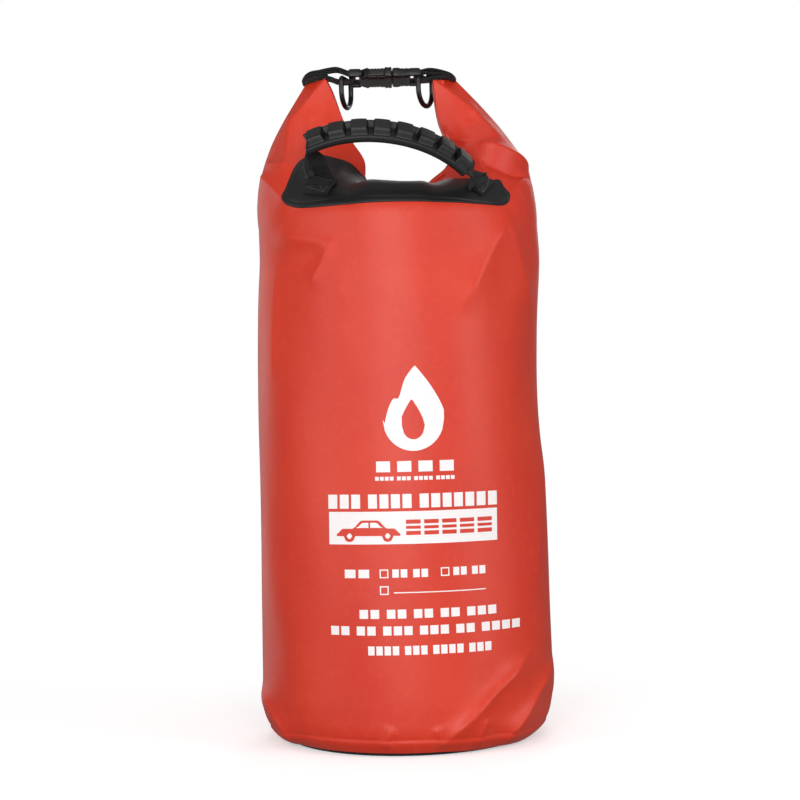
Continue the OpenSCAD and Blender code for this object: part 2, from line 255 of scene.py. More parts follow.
def tube_point(u, z):
    """Round section at height z: radius and sideways shift are curves of z. u = 0 is the left,
    a quarter turn on is the front."""
    a = 2 * np.pi * u
    r = cubic(z, *np.array(RADIUS).T) - drawn_in(a, z)
    return vec(cubic(z, *np.array(SHIFT).T) - r * np.cos(a), -r * np.sin(a), z)


# %% From the shoulder to the roll
# One row for each direction: share of a turn from the left, how far the line goes straight up and
# leans out, the share of the way back from the roll for its second handle, how far that handle
# is raised, and how far it stands out.
SHOULDER = [(0.000, 46, 7, 0.60, 0, 0),
            (0.060, 43, 5, 0.55, 4, 3),
            (0.125, 38, 2, 0.50, 9, 5),
            (0.190, 35, 1, 0.50, 12, 4),
            (0.250, 34, 0, 0.50, 12, 3),
            (0.310, 34, 1, 0.50, 8, 2),
            (0.375, 36, 1, 0.50, -4, 0),
            (0.440, 43, 1, 0.55, -3, 0),
            (0.500, 53, 1, 0.60, 0, 0)]


def cloth(u, v):
    """v from 0 to 1 climbs the tube; from 1 to 2 it follows the Bezier line from the neck to the
    roll; from 2 to 2.1 it runs on to the middle of the roll, which closes the top."""
    side = np.where(u % 1 > 0.5, 1.0, -1.0)
    w = np.where(u % 1 > 0.5, 1 - u % 1, u % 1)
    tube = tube_point(u, FOOT + (NECK - FOOT) * np.clip(v, 0, 1))
    table = np.array(SHOULDER)
    rise, out, share, up, proud = np.moveaxis(cubic(w, table[:, 0], table[:, 1:]), -1, 0)
    p0 = tube_point(u, np.full_like(u, NECK))
    radial = unit(p0 * [1, 1, 0])
    line, normal = along_roll(np.clip((w - TIP) / (0.5 - 2 * TIP), 0, 1))
    across = np.clip(np.minimum(w, 0.5 - w) / TIP, 0, 1)
    over = step(0.3, 0.8, np.abs(normal[..., 0])) * (side < 0)
    reach = 14 - across * (9.5 + 9.3 * over)
    lift = np.where(w < 0.25, 6.0, 0.5) * (1 - across)
    p3 = vec(line[..., 0] + normal[..., 0] * reach, side * across * (9 + 4.8 * over),
             line[..., 1] + normal[..., 1] * reach + lift)
    p1 = p0 + vec(0, 0, rise) + radial * out[..., None]
    free = p3 + share[..., None] * (p1 - p3) + vec(0, 0, up) + radial * proud[..., None]
    flush = p3 + vec(normal[..., 0] * 20, -3.0 + 0 * w, normal[..., 1] * 20)
    p2 = free + (0.55 * over * across)[..., None] * (flush - free)
    t = np.clip(v - 1, 0, 1)[..., None]
    top = (1 - t) ** 3 * p0 + 3 * (1 - t) ** 2 * t * p1 + 3 * (1 - t) * t**2 * p2 + t**3 * p3
    close = np.clip((v - 2) / 0.1, 0, 1)[..., None]
    top = top * (1 - close) + vec(line[..., 0], 0, line[..., 1]) * close
    return np.where((v > 1)[..., None], top, tube)

# %% [markdown]
# ## Folds
# A filled bag is never smooth. Where the cloth is pulled towards a corner it stands up in sharp
# ridges, and where it is slack it sinks into soft dents. Both are small moves along the surface's
# own normal, so they are written as sums of simple bumps: a crease is a ridge that falls away
# from a line at a different rate on each side, and a dent is a round hollow.

# %% Creases and dents
def facing(p, back):
    """1 on the back or the front of the bag, 0 on the other, and a smooth step between them."""
    return step(-10, 25, p[..., 1] if back else -p[..., 1])


def crease(p, a, b, height, near, far, back=False):
    """Ridge over the line from a to b in the X-Z plane: height times exp(-distance / width), with
    one width on the left of the line and another on its right, faded smoothly at both ends."""
    d = np.array(b, float) - a
    length = np.hypot(*d)
    d /= length
    rel = np.stack([p[..., 0] - a[0], p[..., 2] - a[1]], -1)
    run = rel @ d / length
    off = rel @ np.array([-d[1], d[0]])
    width = np.where(off > 0, near, far)
    soft = np.sqrt(off**2 + 0.8) - 0.9
    fade = step(-0.12, 0.25, run) * (1 - step(0.75, 1.12, run))
    return height * np.exp(-soft / width) * fade * facing(p, back)


def dent(p, centre, size, depth, back=False):
    """Round hollow: -depth times exp(-distance squared), with its own width along X and Z."""
    q = ((p[..., 0] - centre[0]) / size[0]) ** 2 + ((p[..., 2] - centre[1]) / size[1]) ** 2
    return -depth * np.exp(-q) * facing(p, back)


CREASES = [  # from, to, height, widths on either side
    ((30, 13), (96, 72), 6.5, 5, 14), ((74, 6), (120, 60), 6.0, 4, 12),
    ((-91, 4), (-121, 44), 4.5, 10, 4),
    ((-20, 8), (-12, 24), 1.5, 5, 3), ((27, 8), (22, 24), 1.6, 3, 5),
    ((52, 8), (62, 28), 1.6, 3, 4),
    ((88, 426), (50, 352), 5.0, 20, 9), ((88, 428), (109, 350), 3.2, 6, 14),
    ((-100, 414), (-50, 405), 2.6, 5, 12), ((-52, 406), (-70, 372), 2.4, 9, 6),
    ((-114, 472), (-84, 436), 4.6, 6, 9), ((118, 468), (68, 488), 8.5, 4, 10),
    ((113, 468), (86, 440), 3.6, 9, 4),
    ((-86, 524), (-90, 468), 3.6, 9, 5), ((62, 528), (84, 492), 3.6, 5, 8),
    ((34, 503), (66, 490), 4.2, 3, 4),
    ((36, 494), (60, 484), 3.2, 2, 4), ((-112, 480), (-82, 470), 3.0, 4, 9),
    ((66, 479), (110, 460), -6.0, 4, 5),
    ((-100, 392), (-104, 300), 2.0, 5, 12), ((-58, 404), (-40, 352), 1.2, 16, 8),
    ((116, 240), (104, 120), 1.8, 8, 5),
]
BACK_CREASES = [
    ((-90, 440), (-20, 350), 3.0, 8, 16), ((84, 440), (30, 370), 2.8, 14, 7),
    ((-40, 12), (-95, 60), 3.4, 12, 5),
    ((60, 10), (100, 56), 3.2, 5, 12), ((10, 446), (16, 392), 2.2, 7, 9),
    ((-112, 468), (-60, 500), 2.6, 6, 9),
    ((112, 468), (60, 496), 2.6, 9, 5),
]
DENTS = [  # centre, size, depth
    ((-74, 396), (24, 12), 3.2), ((84, 372), (16, 40), 3.4),
    ((-60, 60), (30, 40), 1.6), ((70, 42), (13, 22), 2.6),
    ((110, 36), (12, 18), 2.6), ((10, 392), (46, 16), 1.4),
    ((92, 454), (10, 16), 3.0), ((-98, 452), (12, 14), 2.4),
    ((66, 512), (9, 9), 3.6), ((34, 380), (12, 46), 0.9),
    ((-34, 330), (14, 50), 0.8), ((104, 300), (10, 60), 1.4),
    ((60, 470), (20, 7), 2.4), ((-70, 510), (8, 26), 2.2), ((-112, 84), (14, 30), 1.8),
]
BACK_DENTS = [
    ((-30, 400), (40, 22), 3.4), ((70, 390), (26, 36), 3.0), ((0, 70), (50, 40), 1.8),
    ((-90, 120), (30, 60), 1.6), ((0, 250), (60, 50), 1.5)]
print("creases:", len(CREASES + BACK_CREASES), "dents:", len(DENTS + BACK_DENTS))


def swell(p):
    """Slow waves of the slack cloth: a few sines of the angle and the height, about 1 mm."""
    a = np.arctan2(p[..., 1], p[..., 0])
    z = p[..., 2]
    waves = 0.7 * np.sin(3 * a + z / 61) + 0.5 * np.sin(5 * a - z / 43 + 1) + 0.3 * np.sin(9 * a + z / 29 + 2)
    return waves * step(20, 70, z) * (1 - step(470, 500, z))


def folds(p):
    """Sum of all creases, dents and slow waves at the points p."""
    out = swell(p)
    for bump, rows, back in ((crease, CREASES, False), (crease, BACK_CREASES, True),
                             (dent, DENTS, False), (dent, BACK_DENTS, True)):
        for row in rows:
            out += bump(p, *row, back=back)
    return out

# %% [markdown]
# ## The whole sheet at once
# The sheet is worked out on one fine grid. Its normals are the cross products of the grid's own
# differences. The foot of the tube is doubled: a hem 12 mm high is welded round the base, and at
# the back the tube's two edges overlap in an upright weld.

# %% Grid of the whole cloth
NU = 480                         # columns of the grid, all the way round
V_STOPS = np.concatenate([       # its rows: foot, tube, top and inside of the roll
    np.linspace(0, 0.06, 22)[:-1], np.linspace(0.06, 1, 150)[:-1],
    np.linspace(1, 2, 150)[:-1], np.linspace(2, 2.1, 6)])
MEAN_RADIUS = 118.0
U_STOPS = np.arange(NU + 1) / NU
UU, VV = np.moveaxis(pairs(U_STOPS, V_STOPS), -1, 0)


def grid_normals(p):
    """Cross product of the differences along u and v; the ends of u are joined."""
    du = np.gradient(p, axis=0)
    du[0] = du[-1] = (p[1] - p[-2]) / 2
    n = np.cross(du, np.gradient(p, axis=1))
    return unit(n)


SHEET = cloth(UU, VV)
NORMAL = grid_normals(SHEET)
TUBE_ROW = 60                    # a row where the cloth's normal should point away from the axis
outward = np.sign(np.sum(NORMAL[:, TUBE_ROW] * unit(SHEET[:, TUBE_ROW] * [1, 1, 0]), -1).mean())
NORMAL *= outward
hem = 0.7 * (1 - step(12.5, 13.3, SHEET[..., 2])) - 0.35 * np.exp(-((SHEET[..., 2] - 14.2) / 0.9) ** 2)
seam = 0.6 * step(0.7365, 0.7375, UU) * (1 - step(0.7625, 0.7635, UU)) * (1 - step(430, 445, SHEET[..., 2]))
SHEET = SHEET + NORMAL * (folds(SHEET) * (1 - step(1.9, 2.0, VV)) + np.where(VV < 1, hem, 0) + seam)[..., None]
NORMAL = grid_normals(SHEET) * outward
LENGTH = np.array([run_length(column) for column in SHEET])
CLOTH_UV = np.stack([UU * 2 * np.pi * MEAN_RADIUS, LENGTH], -1)
print("cloth grid", SHEET.shape, "highest", SHEET[..., 2].max().round(1))


# %% Reading the cloth at any place
def on_cloth(u, v, lift):
    """Point and normal of the sheet at any u and v: the grid's values blended between its four
    nearest points, moved out along the normal by lift."""
    x = np.mod(u, 1) * NU
    y = np.interp(v, V_STOPS, np.arange(len(V_STOPS)))
    i, j = np.minimum(x.astype(int), NU - 1), np.minimum(y.astype(int), len(V_STOPS) - 2)
    fx, fy = (x - i)[..., None], (y - j)[..., None]
    blend = lambda g: (g[i, j] * (1 - fx) * (1 - fy) + g[i + 1, j] * fx * (1 - fy)
                       + g[i, j + 1] * (1 - fx) * fy + g[i + 1, j + 1] * fx * fy)
    n = unit(blend(NORMAL))
    return blend(SHEET) + n * np.asarray(lift)[..., None], n


def v_at(u, height):
    """The v at which the cloth's own length above its neck line equals height, column by column."""
    neck = np.searchsorted(V_STOPS, 1.0)
    columns = np.clip(np.round(np.mod(u, 1) * NU).astype(int), 0, NU)
    return np.stack([np.interp(h, LENGTH[c] - LENGTH[c, neck], V_STOPS) for c, h in zip(columns, height)])


def v_at_height(z):
    """v on the tube at height z."""
    return (z - FOOT) / (NECK - FOOT)

# %% [markdown]
# ## Cutting the sheet into pieces
# When the buckle is open the two arms fall outwards, so the cloth above the shoulders has to bend.
# The lower tube stays with the bag. The top is cut down the middle of the front and of the back
# into a left half and a right half. The cut edges share their points and their normals, so nothing
# shows.

# %% The three cloth pieces
SPLIT = int(np.searchsorted(V_STOPS, v_at_height(398)))     # first row of the top pieces
LEFT_FOLD = dict(a="bag", b="left_arm", start=(-0.025, 0, 0.446), end=(-0.043, 0, 0.516))
RIGHT_FOLD = dict(a="bag", b="right_arm", start=(0.015, 0, 0.446), end=(0.033, 0, 0.516))
FRONT, REAR = NU // 4, 3 * NU // 4
facing_in = outward < 0


def cloth_part(name, columns, rows):
    """A part of the sheet: the chosen columns and rows of the one grid, with the whole grid's normals."""
    pick = np.ix_(columns, rows)
    return build(name, [(SHEET[pick], False, False, facing_in, CLOTH_UV[pick])], NORMAL[pick])


cloth_tube = cloth_part("cloth_tube", np.arange(NU + 1), np.arange(SPLIT + 1))
upper = np.arange(SPLIT, len(V_STOPS))
cloth_left = cloth_part("cloth_top_left", np.concatenate([np.arange(REAR, NU), np.arange(FRONT + 1)]), upper)
cloth_right = cloth_part("cloth_top_right", np.arange(FRONT, REAR + 1), upper)
hang(cloth_tube, "bag", "body_tube")
hang(cloth_left, LEFT_FOLD, "left_shoulder", "left_arm", "top_panel")
hang(cloth_right, RIGHT_FOLD, "right_shoulder", "right_arm")

# %% [markdown]
# ## Profiles carried along a path
# Webbing, the roll, the rings and the handle are all one idea: a closed outline that travels along
# a line. At each point of the line there is a small frame of three directions, the way forward,
# the way across and the way up, and the outline is drawn in the last two.

# %% Sweep
def sweep(path, across, section):
    """Outline point (a, b) goes to path + a * across + b * up, where across is made square to the
    way forward and up = across x forward. The outline may be one for all points, or one for each."""
    forward = unit(np.gradient(path, axis=0))
    across = np.broadcast_to(across, path.shape)
    across = unit(across - np.sum(across * forward, -1, keepdims=True) * forward)
    up = np.cross(across, forward)
    section = np.broadcast_to(section, (len(path),) + np.shape(section)[-2:])
    return path[:, None] + section[..., :1] * across[:, None] + section[..., 1:] * up[:, None]


def bar_grid(path, across, section):
    """A sweep with closed ends: the first and the last outline are drawn together to their middle."""
    body = sweep(path, across, section)
    ends = [np.repeat(body[k].mean(0)[None], body.shape[1], 0)[None] for k in (0, -1)]
    points = np.concatenate([ends[0], body, ends[1]])
    outline = np.broadcast_to(section, body.shape[:2] + (2,))[0]
    round_it = run_length(np.concatenate([outline, outline[:1]]))[:-1]
    along = run_length(path)[[0, *range(len(path)), -1]]
    return points, False, True, None, pairs(along, round_it)[..., ::-1]


def smooth_path(points, n):
    """n points evenly spaced along a cubic through the given ones."""
    points = np.array(points, float)
    k = np.arange(len(points))
    fine = cubic(np.linspace(0, k[-1], 60 * len(k)), k, points)
    where = run_length(fine)
    at = np.linspace(0, where[-1], n)
    return read_table(at, where, fine)


def rounded(width, thick, sharp, n):
    """Superellipse outline: x = w/2 * |cos|^k, y = t/2 * |sin|^k with the signs kept; small k is square."""
    a = 2 * np.pi * np.arange(n) / n
    wave = np.stack([np.cos(a), np.sin(a)], -1)
    return np.array([width, thick]) / 2 * np.sign(wave) * np.abs(wave) ** sharp


def web_outline(width=25.0, thick=1.4):
    """Flat webbing: a rounded rectangle that is a fifth thicker in a bead along each edge."""
    o = rounded(width, thick, 0.28, 44)
    edge = np.exp(-((np.abs(o[:, 0]) - width / 2 + 1.1) / 0.6) ** 2)
    o[:, 1] *= 1 + 0.22 * edge
    return o


print("points in the outline of webbing:", len(web_outline()))

# %% [markdown]
# ## The rolled mouth
# The stiff edge of the mouth is folded over three times, which makes a flat bar of cloth 25 mm
# wide and 11 mm thick. Seen from the front it shows its narrow side with the edges of the folds.
# Where the bar turns upwards, the cloth can't stretch and pushes a pointed corner to the inside.

# %% Roll and stiffener
def roll_outline(share):
    """Rounded rectangle with two grooves on each narrow side, one outline for each share of the length;
    near the bends its inner face swells."""
    o = rounded(25, 11.2, 0.42, 104)
    y, n = o[:, 0][None], o[:, 1][None]
    s = share[:, None]
    grooves = np.exp(-((n - 1.9 - 0.5 * np.sin(9 * s)) / 0.42) ** 2)
    grooves = grooves + np.exp(-((n + 1.6 + 0.4 * np.sin(13 * s)) / 0.42) ** 2)
    flat_side = step(9.5, 11.5, np.abs(y))
    y2 = y - np.sign(y) * grooves * flat_side
    corner = 5.2 * np.exp(-((s - 0.315) / 0.030) ** 2) + 2.6 * np.exp(-((s - 0.650) / 0.035) ** 2)
    fine = 0.5 * np.sin(61 * s + 0.4 * y) * np.exp(-((s - 0.33) / 0.07) ** 2)
    wave = 0.35 * np.sin(17 * s + 1.3) + 0.25 * np.sin(41 * s)
    inner = step(-2, 4, -n)
    n2 = n - (corner + fine) * inner * (1 - 0.35 * (np.abs(y) / 12.5) ** 2) + wave * 0.6
    return np.stack([y2 + 0.5 * np.sin(11 * s), n2], -1)


def roll_half(name, first, last, outline, n):
    """The bar between two shares of the roll's line."""
    share = np.linspace(first, last, n)
    line, _ = along_roll(share)
    path = vec(line[:, 0], 0, line[:, 1])
    return build(name, [bar_grid(path, [0, -1, 0], outline(share))])


MIDDLE = 0.503                   # share of the roll's line where its two halves meet
roll_left = roll_half("roll_left", 0.004, MIDDLE, roll_outline, 150)
roll_right = roll_half("roll_right", MIDDLE, 0.996, roll_outline, 150)
strip = lambda share: rounded(20, 1.2, 0.2, 24)
stiffener_left = roll_half("stiffener_left", 0.02, MIDDLE, strip, 60)
stiffener_right = roll_half("stiffener_right", MIDDLE, 0.98, strip, 60)
hang(roll_left, LEFT_FOLD, "left_roll", "mouth_roll")
hang(roll_right, RIGHT_FOLD, "right_roll")
hang(stiffener_left, LEFT_FOLD, "left_stiffener", "mouth_stiffener")
hang(stiffener_right, RIGHT_FOLD, "right_stiffener")

# %% [markdown]
# ## Base
# A round of thick black cloth turned up inside the hem. Only its rounded edge shows, as a dark
# line under the red.

# %% Base disc
def turned(profile, n):
    """A profile of (radius, height) turned round Z; its first and last points lie on the axis."""
    radius, z = np.array(profile, float).T[..., None]
    a = 2 * np.pi * np.arange(n) / n
    r = radius - drawn_in(a, z) * np.clip(radius / 114, 0, 1) ** 4
    return vec(r * -np.cos(a), r * -np.sin(a), z)


outside = [(0, 0.7), (30, 0.6), (70, 0.35), (100, 0.1), (107, 0), (110.5, 0.35), (112.6, 1.4), (113.5, 3.2),
           (114.2, 6), (116, 12)]
inside = [(115, 12), (112.9, 6), (112, 3.4), (110.6, 2.0), (107, 1.5), (70, 1.75), (0, 2.0)]
base = build("base", [(turned(smooth_path(outside, 60).tolist() + inside, 256), False, True, None, None)])
hang(base, "bag", "base_disc")

# %% [markdown]
# ## Patch and anchors
# The handle pulls on a black patch with rounded ends that is welded to the shoulder. Its outline is
# a superellipse drawn on the cloth, taller near its left end and lower at its right: the angle
# round the bag is one coordinate and the length climbed along the cloth is the other. A shallow
# weld line runs 4 mm inside its edge.

# %% Handle patch
PATCH_HALF, PATCH_REACH = 53 / 360, 98.0   # half its width, in turns and in millimetres
PATCH_TALL, PATCH_LOW = 76.0, 6.0          # its height, and how far it starts above the neck
SQUARE = 4.5                               # power of the superellipse


def patch_part(name, a0, a1, n):
    """Grid of the patch between two shares of its width. Column a has the share (1 - |a|^k)^(1/k) of
    the full height; lift is the patch's thickness, rounded off at its edge and pressed in at the weld."""
    a = np.sin(np.linspace(a0, a1, n) * np.pi / 2)[:, None]
    b = np.sin(np.linspace(-1, 1, 61) * np.pi / 2)[None]
    half = np.maximum(1 - np.abs(a) ** SQUARE, 1e-5) ** (1 / SQUARE)
    u = 0.25 + a * PATCH_HALF + 0 * b
    tall = PATCH_TALL + 32 * np.exp(-((a + 0.41) / 0.2) ** 2) - 47 * np.exp(-((a - 0.80) / 0.40) ** 2)
    height = PATCH_LOW + 4.5 * (1 - a**2) - 2.5 * np.clip(-a, 0, 1) ** 3 + tall / 2 + tall / 2 * b * half
    v = v_at(u[:, 0], height)
    inset = np.minimum((1 - np.abs(b)) * half * PATCH_TALL / 2, (1 - np.abs(a)) * PATCH_REACH)
    lift = 1.0 * np.sqrt(1 - (1 - np.clip(inset / 1.1, 0, 1)) ** 2) - 0.15
    lift -= 0.4 * np.exp(-((inset - 4.2) / 0.7) ** 2)
    points, _ = on_cloth(u, v, lift)
    uv = np.stack([a * PATCH_REACH + 0 * b, height], -1)
    return build(name, [(points, False, False, facing_in, uv)])


patch_left = patch_part("patch_left", -1, 0, 90)
patch_right = patch_part("patch_right", 0, 1, 90)
hang(patch_left, LEFT_FOLD, "handle_patch")
hang(patch_right, RIGHT_FOLD, "handle_patch")

# %% Anchors of the handle, with the stitches that hold them
ANCHORS = {  # angle round the bag, place of the middle (x, height above the neck), way the webbing points
    "left": (0.25 - 34 / 360, (1.0, 31.0), (-0.30, -0.954)),
    "right": (0.25 + 36 / 360, (-1.0, 30.0), (0.80, -0.60))}
NECK_RADIUS = 117.0              # of the cloth where the tube ends


def on_patch(u0, x, height, lift):
    """Point x mm to the side of u0 and height mm above the neck, lifted off the cloth, with its normal."""
    x, height, lift = np.broadcast_arrays(*(np.asarray(k, float) for k in (x, height, lift)))
    u = u0 + x / (2 * np.pi * NECK_RADIUS)
    return on_cloth(u, v_at(u, height[:, None])[:, 0], lift)


def on_anchor(side, along, aside, lift):
    """Point of an anchor: along it, counted from its middle towards its end, and aside across it."""
    u0, (x, h), (dx, dh) = ANCHORS[side]
    return on_patch(u0, x + along * dx - aside * dh, h + along * dh + aside * dx, lift)


def anchor(name, side):
    """Doubled webbing laid on the patch: a band along the anchor's own line."""
    along = np.linspace(-9, 10, 24)
    middle, _ = on_anchor(side, along, 0, 2.2)
    aside, _ = on_anchor(side, along, 1, 2.2)
    return build(name, [bar_grid(middle, aside - middle, web_outline(25, 2.8))])


# %% Stitches
THREAD_WIDE, PITCH = 0.66, 2.6   # thickness of the thread and length of a stitch


def stitch_grid(start, end, normal):
    """One stitch: a thread that dives into the cloth at both ends, as half a sine along its length."""
    t = np.linspace(0, 1, 9)[:, None]
    path = start + (end - start) * t + normal * (0.42 * np.sin(np.pi * t) - 0.25)
    return bar_grid(path, np.cross(normal, end - start), rounded(THREAD_WIDE, THREAD_WIDE, 1, 8))


def stitch_row(side, ends, lift):
    """Stitches with small gaps along a straight line between two places (along, aside) on an anchor."""
    (x0, h0), (x1, h1) = ends
    n = max(2, int(round(np.hypot(x1 - x0, h1 - h0) / PITCH)))
    k = np.arange(n)
    a, b = (k + 0.1) / n, (k + 0.9) / n
    p, normal = on_anchor(side, x0 + (x1 - x0) * a, h0 + (h1 - h0) * a, lift)
    q, _ = on_anchor(side, x0 + (x1 - x0) * b, h0 + (h1 - h0) * b, lift)
    return [stitch_grid(p[i], q[i], normal[i]) for i in range(n)]


BOX = [(-6, -10), (-6, 10), (7.5, 10), (7.5, -10)]
BOX_LINES = [(BOX[k], BOX[(k + 1) % 4]) for k in range(4)] + [(BOX[0], BOX[2]), (BOX[1], BOX[3])]
bands, threads = [], []
for side, fold in (("left", LEFT_FOLD), ("right", RIGHT_FOLD)):
    piece = anchor("anchor_" + side, side)
    thread = build("anchor_stitches_" + side, [g for r in BOX_LINES for g in stitch_row(side, r, 3.75)])
    hang(piece, fold, side + "_anchor")
    hang(thread, fold, "anchor_stitching")
    bands.append(piece)
    threads.append(thread)

# %% [markdown]
# ## Carry handle
# A moulded rubber grip with eight ribs slides on the webbing. It is bent on a circle of 95 mm in a
# plane that leans forward by 25 degrees. Its outline is a flange with a bar on top, and the height
# of the bar changes along the circle: high on a rib, zero in the gap between two, except at the
# far side, where a wall runs on behind the gaps.

# %% Grip
HINGE, LEAN = np.array([1.0, -103.0, 453.0]), np.radians(25)
GRIP_C, GRIP_R = (-20.5, -50.8), 95.0     # centre and radius of the circle
GRIP_A = np.radians([39.0, 121.5])        # where the grip starts and ends on it, right to left
RIBS, RIB_H = 8, 6.4
GRIP_SLACK = 4.5                 # how far the middle of the grip hangs below its circle
GAP_WALL = 0.86                  # the gaps end at a wall on the far side, this share of a rib high


def handle_place(x, h, t):
    """From the handle's own plane (x to the right, h up the plane, t away from the eye) to the bag's frame."""
    return HINGE + vec(x, -h * np.sin(LEAN) + t * np.cos(LEAN), h * np.cos(LEAN) + t * np.sin(LEAN))


def rib_height(share):
    """Bars with soft flanks: a smooth step up and one down in each of the eight pitches."""
    k = np.mod(share * RIBS, 1)
    return RIB_H * step(0.03, 0.10, k) * (1 - step(0.75, 0.82, k)) * (1 + 0.05 * np.sin(np.pi * k))


GRIP_SIDE = [  # across, radius from the webbing, share of the rib's height
    (0, -4.3, 0), (6, -4.3, 0), (11, -4.2, 0), (12.6, -3.9, 0), (13.6, -3.2, 0), (14, -2.2, 0), (14, 0.4, 0),
    (13.8, 1.2, 0), (13.2, 1.7, 0), (12.4, 1.9, 0), (12.1, 2.0, 0.04), (11.9, 2.0, 0.2), (11.7, 2.0, 0.5),
    (11.4, 2.0, 0.78), (10.8, 2.0, 0.92), (9.8, 2.0, 0.985), (9.0, 2.0, 0.99), (8.2, 2.0, 1.0), (7, 2.0, 1.0),
    (3, 2.0, 1.02), (0, 2.0, 1.03)]


def grip_outline(share):
    """Both halves of the outline, mirrored, at each share of the grip's length."""
    s = np.array(GRIP_SIDE)
    t, r, k = np.concatenate([s, s[-2:0:-1] * [-1, 1, 1]]).T
    height = np.maximum(rib_height(share)[:, None], GAP_WALL * RIB_H * step(7.5, 9.5, t)[None])
    return t[None] + 0 * share[:, None], r[None] + k[None] * height


def grip_ring(angle, t, r):
    """Points at the given angle round the grip's circle, r beyond the webbing and t across."""
    a = np.asarray(angle)[:, None]
    slack = GRIP_SLACK * np.sin(np.pi * np.clip((a - GRIP_A[0]) / (GRIP_A[1] - GRIP_A[0]), 0, 1))
    return handle_place(GRIP_C[0] + (GRIP_R + r) * np.cos(a), GRIP_C[1] + (GRIP_R + r) * np.sin(a) - slack, t)


# %% The grip's mesh
share = np.linspace(0, 1, 420)
angle = GRIP_A[0] + (GRIP_A[1] - GRIP_A[0]) * share
shell = grip_ring(angle, *grip_outline(share))
m = shell.shape[1]
slot = np.roll(rounded(26, 2.2, 0.3, m), -3 * m // 4, axis=0)       # the channel for the webbing
channel = grip_ring(angle[::-1], *(slot[:, k][None] + 0 * share[:, None] for k in (0, 1)))
grip_points = np.concatenate([shell, channel, shell[:1]])
grip_uv = pairs(np.arange(len(grip_points)) * 0.4, np.arange(m) * 1.5)
grip = build("handle_grip_ribbed", [(grip_points, False, True, None, grip_uv)])
hang(grip, "handle", "handle_grip")

# %% Webbing of the handle: through the grip, then a quarter turn down to each anchor
inner_angle = np.linspace(GRIP_A[0], GRIP_A[1], 60)
arc = grip_ring(inner_angle, np.zeros((60, 1)), np.zeros((60, 1)))[:, 0]
cross = handle_place(0, 0, 1) - handle_place(0, 0, 0)


def web_tail(side, grip_end, droop):
    """Middle points and across directions from the anchor up to the grip's end."""
    along = np.array([3.0, -3.0, -8.5])
    low, aside = (on_anchor(side, along, across, np.array([4.4, 4.5, 4.9]))[0] for across in (0, 1))
    path = smooth_path([*low, *droop, grip_end], 40)[:-1]
    return path, unit(aside - low)[0], np.linspace(0, 1, 39)[:, None]


left_path, left_side, left_share = web_tail("left", arc[-1], [(-69.5, -110.0, 469)])
right_path, right_side, right_share = web_tail("right", arc[0], [(58.2, -103.5, 459.0)])
turn = lambda a, b, k: unit(a + (b - a) * step(0.25, 1.0, k))
web_path = np.concatenate([right_path, arc, left_path[::-1]])
web_across = np.concatenate([turn(right_side, cross, right_share), np.repeat(cross[None], 60, 0),
                             turn(left_side, cross, left_share)[::-1]])
handle_web = build("handle_web", [bar_grid(web_path, web_across, web_outline())])
HANDLE_FOLD = dict(a="bag", b="handle", start=(0, -0.098, 0.452), end=(0, -0.104, 0.459))
hang(handle_web, HANDLE_FOLD, "handle_webbing")

# %% [markdown]
# ## Webbing and rings at the two tips
# Each end of the roll is wrapped in webbing that runs on round the buckle's bar and back. A
# D-shaped ring hangs in the loop between the two layers, turned a little about the upright.

# %% Straps, their stitches and the rings
BAR_Z, LEFT_BAR, RIGHT_BAR = 551.5, -36.0, 20.0     # height and places of the buckle's two bars
BEND = 3.1                                          # radius of the webbing's turn round a bar


def loop_path(bar, points_out, points_back, side):
    """Upper layer, half a circle round the buckle's bar, lower layer; side -1 left, 1 right."""
    a = np.radians(np.linspace(95, -90, 14))
    turn_round = np.stack([bar - side * BEND * np.cos(a), BAR_Z + BEND * np.sin(a)], -1)
    line = np.concatenate([np.array(points_out, float), turn_round, np.array(points_back, float)])
    return smooth_path(line, 170)


left_loop = loop_path(
    LEFT_BAR, [(-76.6, 547.6), (-75.8, 550.2), (-73.4, 553.4), (-69, 555.8), (-62.5, 556.8), (-55.5, 558.2),
               (-48, 558.9), (-41, 556.6)],
    [(-42, 548.2), (-48, 549.0), (-53, 551.0), (-59, 552.0), (-66, 551.8), (-71, 550.6), (-73.6, 549.4),
     (-74.9, 547.2)], -1)
right_loop = loop_path(
    RIGHT_BAR, [(51.4, 546.6), (50.2, 549.2), (47.2, 551.9), (42.5, 553.8), (35, 555.8), (29, 556.4),
                (24.5, 555.6)],
    [(26, 548.5), (31, 548.9), (37, 549.8), (43, 549.6), (46.8, 548.6), (49.2, 546.2)], 1)
FOLDED_IN = {  # the end of the webbing, folded in between the two layers
    "left": [(-75.8, 547.6), (-74.9, 549.8), (-72.4, 552.2), (-67.5, 553.7), (-61, 554.3), (-55.5, 554.0)],
    "right": [(50.4, 546.6), (48.8, 549.0), (45.6, 551.1), (41, 552.3), (36, 552.7), (27.0, 552.6)]}
for name, loop, side in (("left", left_loop, -1), ("right", right_loop, 1)):
    path = vec(loop[:, 0], 0, loop[:, 1])
    inner = smooth_path(FOLDED_IN[name], 60)
    strap = build("strap_" + name, [bar_grid(path, [0, 1, 0], web_outline()),
                                    bar_grid(vec(inner[:, 0], 0, inner[:, 1]), [0, 1, 0], web_outline(24.4))])
    forward = unit(np.gradient(path, axis=0))
    out = np.cross([0, -side, 0], forward)
    rows = []
    for at in (10, 17, 24):
        for y in np.linspace(-10.4, 8.0, 8):
            start = path[at] + [0, y, 0] + out[at] * 0.72
            rows.append(stitch_grid(start, start + [0, 2.3, 0], out[at]))
    thread = build("strap_stitches_" + name, rows)
    hang(strap, name + "_arm", name + "_strap")
    hang(thread, name + "_arm", name + "_strap_stitching")
    bands.append(strap)
    threads.append(thread)


